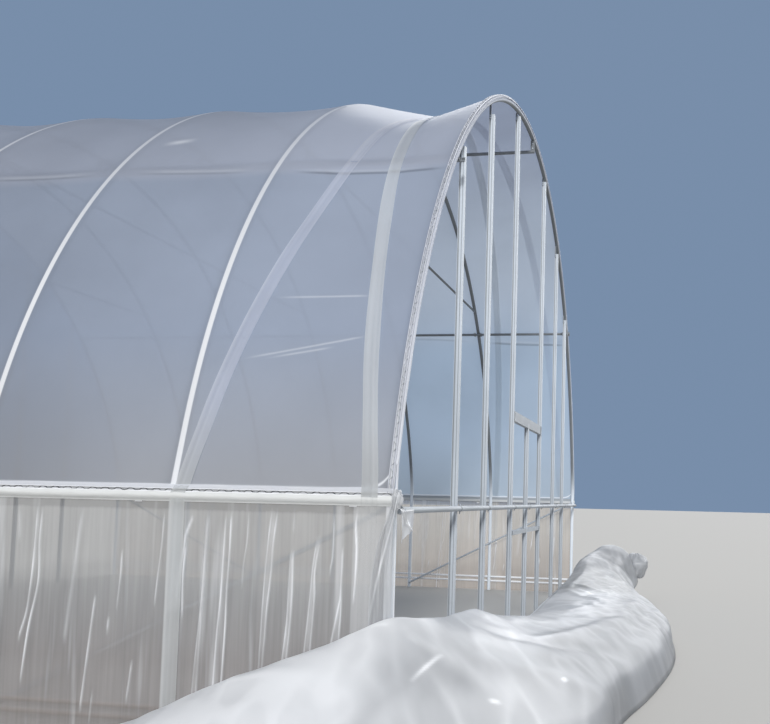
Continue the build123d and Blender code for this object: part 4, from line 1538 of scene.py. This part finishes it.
class POLYTUNNEL_OT_stage(Operator):
    """Set the floor, the light and the camera"""

    bl_idname = "polytunnel.stage"
    bl_label = "Stage, light and camera"

    def execute(self, context):
        bm = bmesh.new()
        bmesh.ops.create_grid(bm, x_segments=4, y_segments=4, size=150)
        mesh = bpy.data.meshes.new("floor")
        bm.to_mesh(mesh)
        bm.free()
        ground = bpy.data.objects.new("floor", mesh)
        context.scene.collection.objects.link(ground)
        material, tree, output, _ = new_material("floor")
        add_surface(tree, output, {"Base Color": FLOOR_COLOUR, "Roughness": 0.9})
        mesh.materials.append(material)

        world = bpy.data.worlds.new("studio")
        context.scene.world = world
        world.use_nodes = True
        tree = world.node_tree
        tree.nodes.clear()
        light = add_node(tree, "ShaderNodeBackground", {"Color": SKY_LIGHT, "Strength": 0.50})
        shown = add_node(tree, "ShaderNodeBackground", {"Color": SKY_SEEN, "Strength": 1.0})
        rays = add_node(tree, "ShaderNodeLightPath").outputs
        seen = maths(tree, "ADD", rays["Is Camera Ray"], rays["Is Glossy Ray"])
        seen = maths(tree, "ADD", seen, rays["Is Transmission Ray"], clamp=True)
        mixed = add_node(tree, "ShaderNodeMixShader", {0: seen, 1: light.outputs[0], 2: shown.outputs[0]})
        add_node(tree, "ShaderNodeOutputWorld", {0: mixed.outputs[0]})

        for name, strength, angle, turn in SUNS:
            lamp = bpy.data.lights.new(name, "SUN")
            lamp.energy = strength
            lamp.angle = radians(angle)
            holder = bpy.data.objects.new(name, lamp)
            holder.rotation_euler = [radians(part) for part in turn]
            context.scene.collection.objects.link(holder)

        lens = bpy.data.cameras.new("camera")
        lens.sensor_width = CAMERA_SENSOR_MM
        lens.lens = CAMERA_LENS_MM
        lens.shift_x, lens.shift_y = CAMERA_SHIFT
        lens.clip_end = 500
        camera = bpy.data.objects.new("camera", lens)
        context.scene.collection.objects.link(camera)
        camera.matrix_world = (
            Matrix.Translation(CAMERA_PLACE)
            @ Matrix.Rotation(radians(CAMERA_YAW), 4, "Z")
            @ Matrix.Rotation(pi / 2 + radians(CAMERA_PITCH), 4, "X")
            @ Matrix.Rotation(radians(CAMERA_ROLL), 4, "Z")
        )
        context.scene.camera = camera
        context.scene.view_settings.view_transform = "Standard"
        return {"FINISHED"}


STEPS = (
    POLYTUNNEL_OT_finish_tubes,
    POLYTUNNEL_OT_end_studs,
    POLYTUNNEL_OT_roof_film,
    POLYTUNNEL_OT_lock_channels,
    POLYTUNNEL_OT_film_edges,
    POLYTUNNEL_OT_side_curtains,
    POLYTUNNEL_OT_straps,
    POLYTUNNEL_OT_loose_sheet,
    POLYTUNNEL_OT_corner_film,
    POLYTUNNEL_OT_fittings,
    POLYTUNNEL_OT_stage,
)


class POLYTUNNEL_PT_panel(Panel):
    """Lists the steps that dress the tunnel, with their sizes and colours"""

    bl_label = "Polytunnel"
    bl_idname = "POLYTUNNEL_PT_panel"
    bl_space_type = "VIEW_3D"
    bl_region_type = "UI"
    bl_category = "Polytunnel"

    def draw(self, context):
        for group in (context.scene.polytunnel_sizes, context.scene.polytunnel_colours):
            box = self.layout.box()
            for name in group.bl_rna.properties.keys():
                if name not in ("rna_type", "name"):
                    box.prop(group, name)
        for step in STEPS:
            self.layout.operator(step.bl_idname)


CLASSES = (TunnelSizes, TunnelColours, *STEPS, POLYTUNNEL_PT_panel)


def register():
    """Adds the sizes, the colours, the steps and the panel."""
    for item in CLASSES:
        bpy.utils.register_class(item)
    bpy.types.Scene.polytunnel_sizes = PointerProperty(type=TunnelSizes)
    bpy.types.Scene.polytunnel_colours = PointerProperty(type=TunnelColours)


def unregister():
    """Takes away what register added."""
    del bpy.types.Scene.polytunnel_sizes
    del bpy.types.Scene.polytunnel_colours
    for item in reversed(CLASSES):
        bpy.utils.unregister_class(item)


def main():
    """Dresses the tunnel step by step."""
    register()
    for step in STEPS:
        group, name = step.bl_idname.split(".")
        getattr(getattr(bpy.ops, group), name)()


if __name__ == "__main__":
    main()
